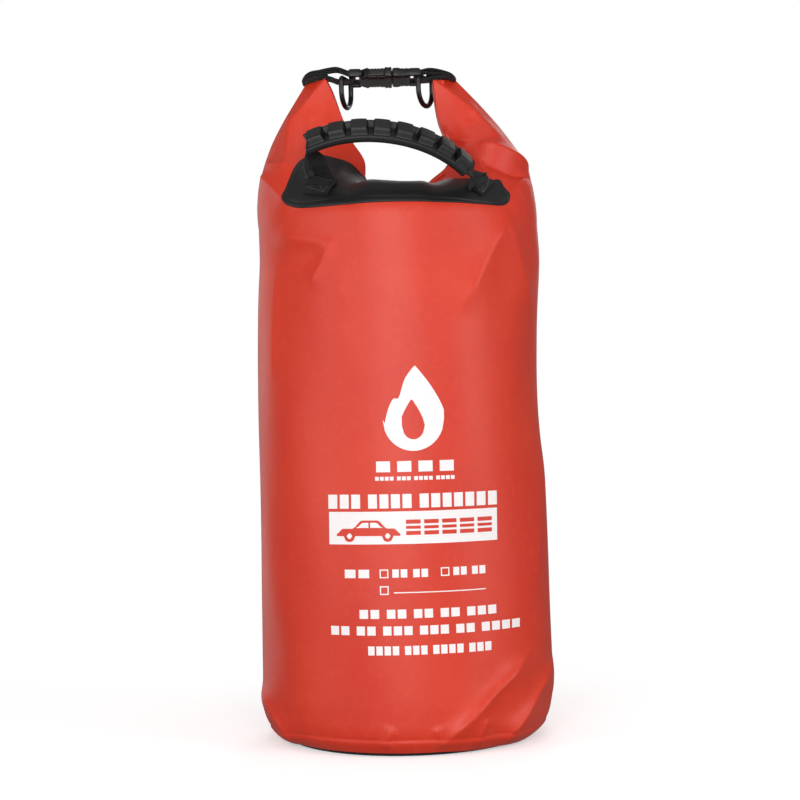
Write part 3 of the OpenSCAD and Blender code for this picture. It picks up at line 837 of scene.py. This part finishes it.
# %% Rings
def ring_points():
    """Middle line of the D: a straight bar with two small corners, two legs and half a circle below."""
    half, leg, r = 15.0, 10.0, 3.0
    a = np.linspace(0, np.pi / 2, 10)
    bow = np.linspace(0, np.pi, 60)
    corner = np.stack([half - r + r * np.sin(a), -r + r * np.cos(a)], -1)
    low = np.stack([half * np.cos(bow), -leg - (half - 2) * np.sin(bow)], -1)
    return np.concatenate([corner, low, corner[::-1] * [-1, 1]])


ROD = 2.15                       # radius of the rings' rod


def ring(name, bar, turned_by):
    """Round rod of radius ROD carried round the D, then turned about the upright through its bar."""
    d = ring_points()
    c, s = np.cos(np.radians(turned_by)), np.sin(np.radians(turned_by))
    path = vec(bar[0] + d[:, 0] * s, d[:, 0] * c, bar[1] + d[:, 1])
    ahead = unit(np.roll(path, -1, 0) - np.roll(path, 1, 0))
    flat = np.array([c, -s, 0.0])
    up = np.cross(ahead, flat)
    a = 2 * np.pi * np.arange(20) / 20
    rod = path[:, None] + ROD * (np.cos(a)[None, :, None] * flat + np.sin(a)[None, :, None] * up[:, None])
    return build(name, [(rod, True, True, None, pairs(run_length(path), a * 2))])


ring_left = ring("ring_left", (-40.5, 550), 14)
ring_right = ring("ring_right", (26, 550), 23)
hang(ring_left, "left_ring", "left_ring")
hang(ring_right, "right_ring", "right_ring")

# %% [markdown]
# ## Side-release buckle
# The socket is a flat box with a waist on each side, where the squeeze pads of the two latches
# stand out. The plug is a shorter block that runs a little way into the socket. All of them are
# outlines carried along X whose width and thickness change from row to row. Socket and plug have
# two cheeks each, which hold a round bar for the webbing.

# %% Outlines of the buckle
# The rows are: distance from the socket's bar, width, thickness.
SOCKET = [
    (6.6, 19, 4.6), (7.0, 21.5, 6.6), (8, 24.5, 8.2), (10.5, 27.5, 9.2), (13.2, 31.6, 9.9), (13.8, 33, 10.1),
    (14.2, 32.4, 10.1), (14.6, 27.6, 10.0), (28.2, 27.6, 10.0), (28.6, 32.6, 10.1), (29.2, 33.4, 10.3),
    (33, 33.4, 10.3), (33.8, 32.8, 10.0), (34.2, 30.5, 8.6)]
PLUG = [
    (30, 23, 5.8), (34.5, 23, 5.8), (34.6, 28, 7.2), (34.9, 30.4, 8.4), (36, 31.4, 9.2), (39, 31.4, 9.4),
    (40.5, 29.4, 9.2), (44, 28.6, 8.9), (47.5, 30.4, 8.2), (49.2, 30.4, 7.0), (49.8, 28.6, 5.0)]
PAD = [
    (13.6, 2.0, 3.2), (14.6, 4.2, 5.4), (17, 5.0, 5.9), (22, 6.0, 6.1), (26.5, 6.9, 6.1), (28.2, 6.4, 5.8),
    (28.9, 3.6, 3.6)]
BUCKLE_TILT = np.radians(8)      # the buckle has turned a little in its loops, front edge up


def tilted(grid):
    """The same grid turned about the line through the two bars."""
    points, c, s = grid[0].copy(), np.cos(BUCKLE_TILT), np.sin(BUCKLE_TILT)
    y, z = points[..., 1].copy(), points[..., 2] - BAR_Z
    points[..., 1], points[..., 2] = c * y + s * z, BAR_Z + c * z - s * y
    return (points,) + grid[1:]


def block(rows, grooves, y=0.0):
    """Rounded box along X that follows the rows; shallow grooves cross its top and underside."""
    rows = np.array(rows)
    x = np.unique(np.concatenate([rows[:, 0], np.linspace(rows[0, 0], rows[-1, 0], 90)]))
    wide, thick = (np.interp(x, rows[:, 0], rows[:, k]) for k in (1, 2))
    for g in grooves:
        thick = thick - 1.1 * np.exp(-((x - g) / 0.45) ** 2)
    o = rounded(2, 2, 0.33, 56)
    section = o[None] * np.stack([wide / 2, thick / 2], -1)[:, None]
    return bar_grid(vec(LEFT_BAR + x, y, BAR_Z), [0, 1, 0], section)


def cheek(x0, x1, y, wide, tall):
    """Small rounded rail beside the webbing, half as thick at its ends."""
    x = np.linspace(x0, x1, 12)
    taper = 1 - 0.5 * np.abs(np.linspace(-1, 1, 12)) ** 8
    section = rounded(wide, tall, 0.45, 20)[None] * taper[:, None, None]
    return bar_grid(vec(LEFT_BAR + x, y, BAR_Z), [0, 1, 0], section)


def cross_bar(x, half):
    """Round bar of 4 mm along Y."""
    y = np.linspace(-half, half, 8)
    return bar_grid(vec(LEFT_BAR + x, y, BAR_Z), [1, 0, 0], rounded(4, 4, 1, 28))


# %% Socket, plug and latches
SIDES = (-1, 1)                  # front and rear
female = [block(SOCKET, (16.5, 19, 21.5, 24, 31)), cross_bar(0, 15.5)]
female += [cheek(-2.4, 9, side * 14.6, 3.8, 6.8) for side in SIDES]
male = [block(PLUG, (42, 44.5)), cross_bar(56, 14.2)]
male += [cheek(47.5, 58.4, side * 14.0, 3.4, 6.8) for side in SIDES]
buckle_female = build("buckle_socket_body", [tilted(g) for g in female])
buckle_male = build("buckle_plug_body", [tilted(g) for g in male])
latches = []
for name, side in zip(("front_latch", "rear_latch"), SIDES):
    latches.append(build(name + "_pad", [tilted(block(PAD, (18, 20.5, 23), side * 12.6))]))
    hang(latches[-1], name, name)
hang(buckle_female, "socket", "buckle_socket")
hang(buckle_male, "plug", "buckle_plug")

# %% [markdown]
# ## Print
# White ink on the front: a drop-shaped flame, blocks for the lines of writing, a banner with the
# side view of a plain car in red, and three tick boxes. Every shape lies between a lower and an
# upper curve of x and is laid on the cloth's own surface, up to a third of a millimetre out.

# %% Signs laid on the cloth
PRINT_X = 7.0                    # the print's middle lies this far to the left of the bag's axis
INK, OVER, TOP = 0.12, 0.2, 0.28 # how far each layer of the print stands off the cloth


def sign(x0, x1, low, high, lift=INK):
    """Grid between the curves low(x) and high(x), x counted from the middle of the print."""
    nx, nz = max(3, int((x1 - x0) / 1.6) + 2), 5
    x = np.linspace(x0, x1, nx)[:, None]
    lo, hi = (f(x) if callable(f) else f + 0 * x for f in (low, high))
    z = lo + (hi - lo) * np.linspace(0, 1, nz)[None]
    r, shift = cubic(z, *np.array(RADIUS).T), cubic(z, *np.array(SHIFT).T)
    u = np.arccos(np.clip((shift - PRINT_X - x) / r, -1, 1)) / (2 * np.pi)
    p, _ = on_cloth(u, v_at_height(z), np.full(z.shape, lift))
    return p, False, False, facing_in, np.stack([x + 0 * z, z], -1)


def words(x0, x1, z, tall, letters, gap=0.28, space=0.9):
    """Plain blocks in place of a line of writing: one for each letter, with a wider gap between words."""
    total = sum(letters) + gap * (sum(letters) - len(letters)) + space * (len(letters) - 1)
    size, at, out = (x1 - x0) / total, x0, []
    for count in letters:
        for _ in range(count):
            out.append(sign(at, at + size, z - tall / 2, z + tall / 2))
            at += (1 + gap) * size
        at += (space - gap) * size
    return out


def round_line(cx, cz, rx, rz, way):
    """The upper (way 1) or lower (way -1) half of an ellipse, as a curve of x."""
    return lambda x: cz + way * rz * np.sqrt(np.clip(1 - ((x - cx) / rx) ** 2, 0, 1))


def disc(x, z, r, lift):
    """Round spot."""
    return sign(x - r, x + r, round_line(x, z, r, r, -1), round_line(x, z, r, r, 1), lift)


def box_line(x, z, a):
    """Four sides of a tick box, each 0.9 mm wide."""
    w = 0.9
    x0, x1, z0, z1 = x - a / 2, x + a / 2, z - a / 2, z + a / 2
    return [sign(x0, x1, z0, z0 + w), sign(x0, x1, z1 - w, z1),
            sign(x0, x0 + w, z0 + w, z1 - w), sign(x1 - w, x1, z0 + w, z1 - w)]


# %% White ink
point = lambda x, middle, half, power: np.clip(1 - np.abs(x - middle) / half, 0, 1) ** power
flame_top = lambda x: 262 + 45 * point(x, 4, 24, 0.62) - 8 * np.exp(-((x + 9) / 3.2) ** 2)
flame_low = round_line(2, 265, 24, 25, -1)
white = [sign(-22, 26, flame_low, lambda x: np.maximum(flame_top(x), flame_low(x)))]
white += words(-28, 33, 228, 8.5, [1, 1, 1, 1], space=0.5)
for line in (  # from, to, height, size of the letters, letters in each word
        (-29, 33.5, 218.7, 3, [4, 3, 4, 4]), (-66.5, 67, 201, 11, [3, 4, 7]), (-54, -35, 144.5, 6.6, [2]),
        (-17, 11, 144.6, 6.4, [2, 2]), (31, 57, 145, 6.4, [2, 2]), (-43, 65, 113, 7, [2, 2, 2, 2, 3]),
        (-66, 84, 100, 7, [2, 2, 3, 3, 2, 4]), (-37, 60, 84.5, 7, [4, 3, 4, 3])):
    white += words(*line)
for x, z in ((-23.5, 144.5), (24.5, 145), (-23.5, 131.5)):
    white += box_line(x, z, 6.8)
white += [sign(-66, 67, 167.5, 193), sign(-16, 57, 129.2, 130)]     # the banner and the line to write on
front_ink = build("front_print_white", white)

# %% The car and the other red and white shapes over the ink
CAR_X, CAR_Z = -35.0, 174.0
WHEELS = (CAR_X - 15, CAR_X + 15)
car_roof = lambda x: CAR_Z + 1.8 + 4.0 * step(-25, -20, x - CAR_X) * (1 - step(20, 25, x - CAR_X)) \
    + 6.4 * step(-13, -5, x - CAR_X) * (1 - step(7, 15, x - CAR_X))
rear_window = lambda x: CAR_Z + 6.8 + 3.6 * step(-9, -4.5, x - CAR_X)
front_window = lambda x: CAR_Z + 6.8 + 3.6 * (1 - step(6, 10.5, x - CAR_X))
drop_top = lambda x: 260 + 21 * point(x, 1, 10, 0.7)
red = [sign(-7, 11, round_line(2, 260, 9, 11, -1), drop_top, OVER)]
red += [sign(CAR_X - 25, CAR_X + 25, CAR_Z, car_roof, OVER)]
for x in -5.5 + 14.2 * np.arange(5):
    for low, high in ((174.4, 177.6), (179.2, 181.6), (183.2, 186.4)):
        red += [sign(x, x + 11.5, low, high, OVER)]
red += [disc(x, CAR_Z, 4.6, OVER) for x in WHEELS]
front_red = build("front_print_red", red)
detail = [disc(x, CAR_Z, 2.2, TOP) for x in WHEELS]
detail += [sign(CAR_X - 9.5, CAR_X, CAR_Z + 6.4, rear_window, TOP),
           sign(CAR_X + 1.4, CAR_X + 11, CAR_Z + 6.4, front_window, TOP)]
front_detail = build("front_print_detail", detail)
for piece in (front_ink, front_red, front_detail):
    hang(piece, "bag", "front_print")

# %% [markdown]
# ## Blanket
# The blanket is a sheet of glass cloth of three by four metres. It is folded into seven layers to
# the height of the bag, like a concertina, and then rolled up. The roll is an Archimedean spiral
# whose turns are as far apart as the seven layers are thick.

# %% Blanket and its pull straps
LAYERS, TURN = 7, 8.55           # layers of the folded sheet, and their thickness together
CORE, ROLL_OUT = 12.5, 97.0      # radius where the roll starts and ends
FOLD_LOW, FOLD_HIGH = 18.0, 421.0


def blanket_sheet():
    """u runs along the spiral r = core + turn * angle / 2 pi; v runs up and down through the layers,
    stepping outwards by about a seventh of a turn at each fold. The folds are half ellipses."""
    r = np.sqrt(np.linspace(CORE**2, ROLL_OUT**2, 600))
    theta = (r - CORE) * 2 * np.pi / TURN
    step_out = (TURN - 1.4) / (LAYERS - 1)
    climb, out = [], []
    for k in range(LAYERS):
        z = np.array([FOLD_LOW, 90, 180, 220, 260, 350, FOLD_HIGH])
        climb += list(z if k % 2 == 0 else z[::-1])
        out += [k * step_out] * 7
        if k < LAYERS - 1:
            a = np.linspace(0, np.pi, 5)[1:-1]
            up = 1 if k % 2 == 0 else -1
            climb += list((FOLD_HIGH if up > 0 else FOLD_LOW) + up * step_out * 1.6 * np.sin(a))
            out += list(k * step_out + step_out * (1 - np.cos(a)) / 2)
    climb, out = np.array(climb)[None], np.array(out)[None]
    soft = 0.12 * np.sin(5 * theta[:, None] + climb / 37)
    rr = r[:, None] + out + soft
    turn = theta[:, None]
    p = vec(rr * np.cos(turn), rr * np.sin(turn), climb + 1.5 * np.sin(3 * turn + out))
    along = run_length(np.stack([r * np.cos(theta), r * np.sin(theta)], -1))
    across = run_length(np.stack([climb[0], out[0]], -1))
    print("blanket unrolled:", round(along[-1]), "by", round(across[-1]), "mm")
    return build("blanket", [(p, False, False, False, pairs(along, across))])


blanket = blanket_sheet()
hang(blanket, "bag", "blanket_roll")
loops = []
for side in (-1, 1):
    a = np.linspace(0, np.pi, 24)
    path = vec(side * 70 + 0 * a, 26 * np.cos(a), 424 + 11.5 * np.sin(a))
    loops.append(bar_grid(path, [side, 0, 0], web_outline(20)))
pulls = build("blanket_pulls", loops)
hang(pulls, "bag", "blanket_pull_straps")

# %% [markdown]
# ## Shader arithmetic
# Patterns are sums and products of simple waves and noises. One small class holds an output of a
# node, and Python's own + - * / on it add the Math nodes, so a formula reads like a formula.

# %% Sockets with arithmetic
class Value:
    """The output of a node. Adding, multiplying and so on make one Math node each."""
    def __init__(self, finish, socket):
        self.finish, self.socket = finish, socket

    def math(self, operation, *inputs):
        """One Math node on the given inputs, of which this value is usually one."""
        return self.finish.node("ShaderNodeMath", {"operation": operation}, dict(enumerate(inputs)))

    def __add__(self, other): return self.math("ADD", self, other)
    def __radd__(self, other): return self.math("ADD", other, self)
    def __sub__(self, other): return self.math("SUBTRACT", self, other)
    def __rsub__(self, other): return self.math("SUBTRACT", other, self)
    def __mul__(self, other): return self.math("MULTIPLY", self, other)
    def __rmul__(self, other): return self.math("MULTIPLY", other, self)
    def __pow__(self, other): return self.math("POWER", self, other)

    def wave(self, period):
        """Sine of the value, one full wave for each period, from -1 to 1."""
        return self.math("SINE", self * (2 * np.pi / period))

    def size(self):
        """The value without its sign."""
        return self.math("ABSOLUTE", self)

    def between(self, low, high):
        """0 below low, 1 above high, straight between them."""
        return self.finish.node("ShaderNodeMapRange", {"clamp": True},
                                {"Value": self, "From Min": low, "From Max": high}, "Result")


class Finish:
    """One material: its shader and the nodes that feed it."""
    def __init__(self, name, **constants):
        self.material = bpy.data.materials.new(name)
        self.material.use_nodes = True
        self.tree = self.material.node_tree
        self.shader = self.tree.nodes["Principled BSDF"]
        for socket, value in constants.items():
            self.shader.inputs[socket.replace("_", " ")].default_value = value
        self.object_place = self.node("ShaderNodeTexCoord", {}, {}, "Object")
        self.uv = self.node("ShaderNodeUVMap", {"uv_map": "UVMap"}, {}, "UV")

    def node(self, kind, settings, sockets, output=0):
        """Any node: its settings first, then the values or links of its sockets; gives one output back."""
        made = self.tree.nodes.new(kind)
        for key, value in settings.items():
            setattr(made, key, value)
        for key, value in sockets.items():
            self.set(made.inputs[key], value)
        return Value(self, made.outputs[output])

    def set(self, socket, value):
        """A link if value comes from a node, and a constant if not."""
        if isinstance(value, Value):
            self.tree.links.new(value.socket, socket)
        else:
            socket.default_value = value

    def noise(self, scale, detail, rough=0.5):
        """Cloudy noise between about 0.2 and 0.8."""
        sockets = {"Vector": self.object_place, "Scale": scale, "Detail": detail, "Roughness": rough}
        return self.node("ShaderNodeTexNoise", {}, sockets, "Fac")

    def axes(self, place):
        """The parts of a vector, as three values."""
        split = self.node("ShaderNodeSeparateXYZ", {}, {"Vector": place}).socket.node
        return [Value(self, o) for o in split.outputs]

    def mix(self, amount, low, high):
        """Colour between low and high."""
        made = self.tree.nodes.new("ShaderNodeMix")
        made.data_type = "RGBA"
        for key, value in (("Factor_Float", amount), ("A_Color", low), ("B_Color", high)):
            self.set(next(i for i in made.inputs if i.identifier == key), value)
        return Value(self, next(o for o in made.outputs if o.identifier == "Result_Color"))

    def feed(self, socket, value):
        """Links a value to one of the shader's own sockets."""
        self.tree.links.new(value.socket, self.shader.inputs[socket])

    def coat(self, colour, roughness, height, distance, strength=1.0):
        """Feeds the colour, the roughness, and the height of the fine surface, in metres per unit."""
        self.feed("Base Color", colour)
        self.feed("Roughness", roughness)
        sockets = {"Height": height, "Distance": distance, "Strength": strength}
        self.feed("Normal", self.node("ShaderNodeBump", {}, sockets, "Normal"))
        return self.material


def rgb(r, g, b):
    """Colour from 0-255 display values to the linear values of a shader: ((c + 0.055) / 1.055)^2.4,
    or c / 12.92 for the darkest."""
    c = np.array([r, g, b]) / 255
    return (*np.where(c > 0.04045, ((c + 0.055) / 1.055) ** 2.4, c / 12.92), 1.0)


print("display grey 128 in the shader:", round(float(rgb(128, 128, 128)[0]), 3))

# %% [markdown]
# ## Finishes
# The coated cloth is plasticised vinyl on a polyester net. It has a fine pebble grain, and the net
# shows through as faint crossing lines two millimetres apart. Its colour is uneven by a few
# parts in a hundred, and it shines most where it has been rubbed.

# %% Coated cloth, webbing and thread
NET = 0.0021                     # metres between the lines of the net


def coated_cloth(name, colour, dark, light, rough):
    """Colour: two noises blended, and the net. Height: grain, a finer noise, and the net, whose lines
    are the cube of a wave that runs from 0 to 1."""
    f = Finish(name, Roughness=rough, Specular_IOR_Level=0.48)
    x, y, _ = f.axes(f.uv)
    broad, fine, grain = f.noise(9, 3), f.noise(160, 3, 0.6), f.noise(1500, 2, 0.6)
    lines = (x.wave(NET) * 0.5 + 0.5) ** 3 + (y.wave(NET) * 0.5 + 0.5) ** 3
    tint = f.mix(broad.between(0.35, 0.68), dark, colour)
    tint = f.mix(fine.between(0.5, 0.85) * 0.5, tint, light)
    shine = rough - 0.05 + fine * 0.12 + grain * 0.06 - broad.between(0.45, 0.75) * 0.04
    height = grain * 0.8 + lines * 0.35 + fine * 0.6
    return f.coat(f.mix(lines * 0.035, tint, dark), shine, height, 0.00008, 0.8)


def webbing(name, colour, light):
    """Ribs across the band from a wave of the length, chevrons from a wave shifted by the width."""
    f = Finish(name, Roughness=0.7, Sheen_Weight=0.06, Sheen_Roughness=0.5, Specular_IOR_Level=0.25)
    x, y, _ = f.axes(f.uv)
    zig = x.wave(0.0052).size() * 0.0011
    ribs = (y + zig).wave(0.0016) * 0.5 + 0.5
    yarn = x.wave(0.0011) * 0.5 + 0.5
    fuzz, worn = f.noise(2600, 3, 0.7), f.noise(70, 3, 0.6)
    colour = f.mix((ribs * 0.45 + fuzz * 0.5) * (0.5 + worn * 0.6), colour, light)
    return f.coat(colour, 0.58 + fuzz * 0.25, ribs + yarn * 0.5 + fuzz * 0.4, 0.00022, 0.9)


def twisted_thread(name, colour, light):
    """Slanting wave round the thread."""
    f = Finish(name, Roughness=0.5, Sheen_Weight=0.2)
    x, y, _ = f.axes(f.uv)
    twist = (x * 0.8 + y).wave(0.0007) * 0.5 + 0.5
    return f.coat(f.mix(twist * 0.7, colour, light), 0.42 + twist * 0.2, twist, 0.00012)


RED = coated_cloth("red_coated_cloth", rgb(208, 52, 22), rgb(200, 43, 19), rgb(214, 68, 37), 0.47)
BLACK_CLOTH = coated_cloth("black_coated_cloth", rgb(15, 15, 17), rgb(10, 10, 12), rgb(24, 24, 26), 0.50)
WEBBING = webbing("black_webbing", rgb(8, 8, 9), rgb(34, 34, 37))
THREAD = twisted_thread("black_thread", rgb(16, 16, 18), rgb(58, 58, 62))

# %% Rubber, plastic and the stiffener
def moulded(name, colour, light, rough, grain_scale, depth):
    """Spark-eroded mould texture: pits from a cell pattern over cloudy noise, with rubbed lighter spots."""
    f = Finish(name, Roughness=rough, Specular_IOR_Level=0.4)
    cells = {"Vector": f.object_place, "Scale": grain_scale}
    pits = f.node("ShaderNodeTexVoronoi", {"feature": "F1"}, cells, "Distance")
    cloud, worn = f.noise(grain_scale / 3, 3, 0.6), f.noise(55, 4, 0.65)
    colour = f.mix(worn.between(0.45, 0.8) * 0.6 + cloud * 0.15, colour, light)
    return f.coat(colour, rough - 0.08 + cloud * 0.16 + worn * 0.06, pits + cloud * 0.6, depth, 0.7)


# %% Ink and glass cloth
def ink(name, colour, dark):
    """Screen-printed ink: slightly uneven cover, with the cloth's grain showing through."""
    f = Finish(name, Roughness=0.5, Specular_IOR_Level=0.4)
    cover, grain = f.noise(240, 4, 0.65), f.noise(1500, 2, 0.6)
    colour = f.mix(cover.between(0.58, 0.9) * 0.5 + grain * 0.05, colour, dark)
    return f.coat(colour, 0.42 + grain * 0.16, grain + cover * 0.5, 0.00005, 0.7)


def plain_weave(name, colour, dark, pitch, rough):
    """Over-and-under weave: the product of a wave along and a wave across."""
    f = Finish(name, Roughness=rough, Sheen_Weight=0.1)
    x, y, _ = f.axes(f.uv)
    knit = x.wave(pitch) * y.wave(pitch) * 0.5 + 0.5
    soil = f.noise(18, 4, 0.6)
    colour = f.mix(knit * 0.3 + soil.between(0.4, 0.8) * 0.4, colour, dark)
    return f.coat(colour, rough - 0.05 + knit * 0.12, knit, 0.0003, 0.8)


RUBBER = moulded("black_rubber", rgb(10, 10, 11), rgb(22, 22, 24), 0.46, 2200, 0.00007)
PLASTIC = moulded("black_plastic", rgb(9, 9, 10), rgb(22, 22, 24), 0.34, 2800, 0.00005)
WHITE_INK = ink("white_ink", rgb(238, 232, 232), rgb(222, 190, 186))
GLASS_CLOTH = plain_weave("blanket_cloth", rgb(214, 212, 202), rgb(168, 165, 152), 0.0024, 0.62)
STIFFENER = moulded("stiffener", rgb(34, 34, 36), rgb(60, 60, 62), 0.45, 900, 0.00008)


# %% Paint the pieces
def paint(material, slot, *pieces):
    """Gives a finish to pieces made above; slot is not used."""
    for piece in pieces:
        piece.data.materials.clear()
        piece.data.materials.append(material)
    print(f"{material.name}: {len(pieces)} pieces")


paint(RED, "coated_cloth", cloth_tube, cloth_left, cloth_right, roll_left, roll_right, front_red)
paint(BLACK_CLOTH, "black_coated_cloth", base, patch_left, patch_right)
paint(RUBBER, "black_rubber", grip)
paint(WEBBING, "black_webbing", handle_web, *bands, pulls)
paint(THREAD, "black_thread", *threads)
paint(PLASTIC, "black_plastic", ring_left, ring_right, buckle_female, buckle_male, *latches)
paint(WHITE_INK, "white_ink", front_ink, front_detail)
paint(GLASS_CLOTH, "blanket_cloth", blanket)
paint(STIFFENER, "stiffener", stiffener_left, stiffener_right)

# %% [markdown]
# ## Studio
# The floor is pale at the foot of the bag and fades to plain white within a metre, and the camera
# sees a white world behind it, while the light of that world is weak. A wide lamp above the camera
# draws the broad highlight, two tall ones fill the sides, a narrow one behind on the left draws a
# pale edge on the satin cloth, and two weak ones light the back and the top.

# %% Floor and world
floor_mesh = bpy.data.meshes.new("floor")
floor_mesh.from_pydata([(-6, -4, 0), (6, -4, 0), (6, 8, 0), (-6, 8, 0)], [], [(0, 1, 2, 3)])
floor = bpy.data.objects.new("floor", floor_mesh)
bpy.context.collection.objects.link(floor)
WHITE = (1, 1, 1, 1)
paper = Finish("pale_floor", Roughness=0.9, Specular_IOR_Level=0.1,
               Emission_Color=WHITE, Emission_Strength=0.42)
paper.feed("Base Color", paper.mix(paper.noise(3, 2), rgb(244, 244, 244), rgb(240, 240, 240)))
distance = paper.node("ShaderNodeVectorMath", {"operation": "LENGTH"}, {0: paper.object_place}, "Value")
far = paper.node("ShaderNodeEmission", {}, {"Strength": 1.0})
near = Value(paper, paper.shader.outputs[0])
fade = paper.node("ShaderNodeMixShader", {}, {0: distance.between(0.16, 0.9), 1: near, 2: far})
paper.tree.links.new(fade.socket, paper.tree.nodes["Material Output"].inputs[0])
floor_mesh.materials.append(paper.material)
floor.visible_diffuse = floor.visible_glossy = False

world = bpy.data.worlds.new("studio")
bpy.context.scene.world = world
world.use_nodes = True
sky = world.node_tree
weak, white_world = sky.nodes["Background"], sky.nodes.new("ShaderNodeBackground")
weak.inputs["Color"].default_value = white_world.inputs["Color"].default_value = WHITE
weak.inputs["Strength"].default_value = 0.24
path_kind, either = sky.nodes.new("ShaderNodeLightPath"), sky.nodes.new("ShaderNodeMixShader")
for k, output in enumerate((path_kind.outputs["Is Camera Ray"], weak.outputs[0], white_world.outputs[0])):
    sky.links.new(output, either.inputs[k])
sky.links.new(either.outputs[0], sky.nodes["World Output"].inputs[0])
print("floor", tuple(floor.dimensions), "world", world.name)


# %% Lamps and camera
def lamp(name, place, target, width, height, watts):
    """Rectangular lamp at place that faces target."""
    light = bpy.data.lights.new(name, "AREA")
    light.shape, light.size, light.size_y, light.energy = "RECTANGLE", width, height, watts
    thing = bpy.data.objects.new(name, light)
    thing.location = place
    thing.rotation_euler = (Vector(target) - Vector(place)).to_track_quat("-Z", "Y").to_euler()
    bpy.context.collection.objects.link(thing)


for row in (  # name, place, target, width, height, watts
        ("key", (-0.15, -1.9, 0.55), (0, 0, 0.27), 1.3, 1.0, 25),
        ("left_fill", (-1.5, -0.9, 0.45), (0, 0, 0.3), 0.7, 1.2, 9),
        ("right_fill", (1.5, -0.9, 0.45), (0, 0, 0.3), 0.7, 1.2, 13),
        ("back", (0.3, 1.8, 0.9), (0, 0, 0.3), 1.0, 1.0, 10),
        ("left_rim", (-1.1, 1.35, 0.35), (0, 0, 0.28), 0.5, 1.2, 3.5),
        ("top", (0, -0.3, 1.6), (0, 0, 0.3), 0.8, 0.8, 2.5)):
    lamp(*row)
    print("lamp", row[0], row[-1], "W")

camera = bpy.data.objects.new("camera", bpy.data.cameras.new("camera"))
bpy.context.collection.objects.link(camera)
camera.data.lens, camera.data.sensor_width = 88.2, 36
ROLL = 1.27                      # degrees that the camera leans to one side
camera.matrix_world = (Matrix.Translation((-0.001, -1.65, 0.28)) @ Matrix.Rotation(np.radians(ROLL), 4, "Y")
                       @ Matrix.Rotation(np.radians(90), 4, "X"))
bpy.context.scene.camera = camera
bpy.context.scene.view_settings.view_transform = "Standard"
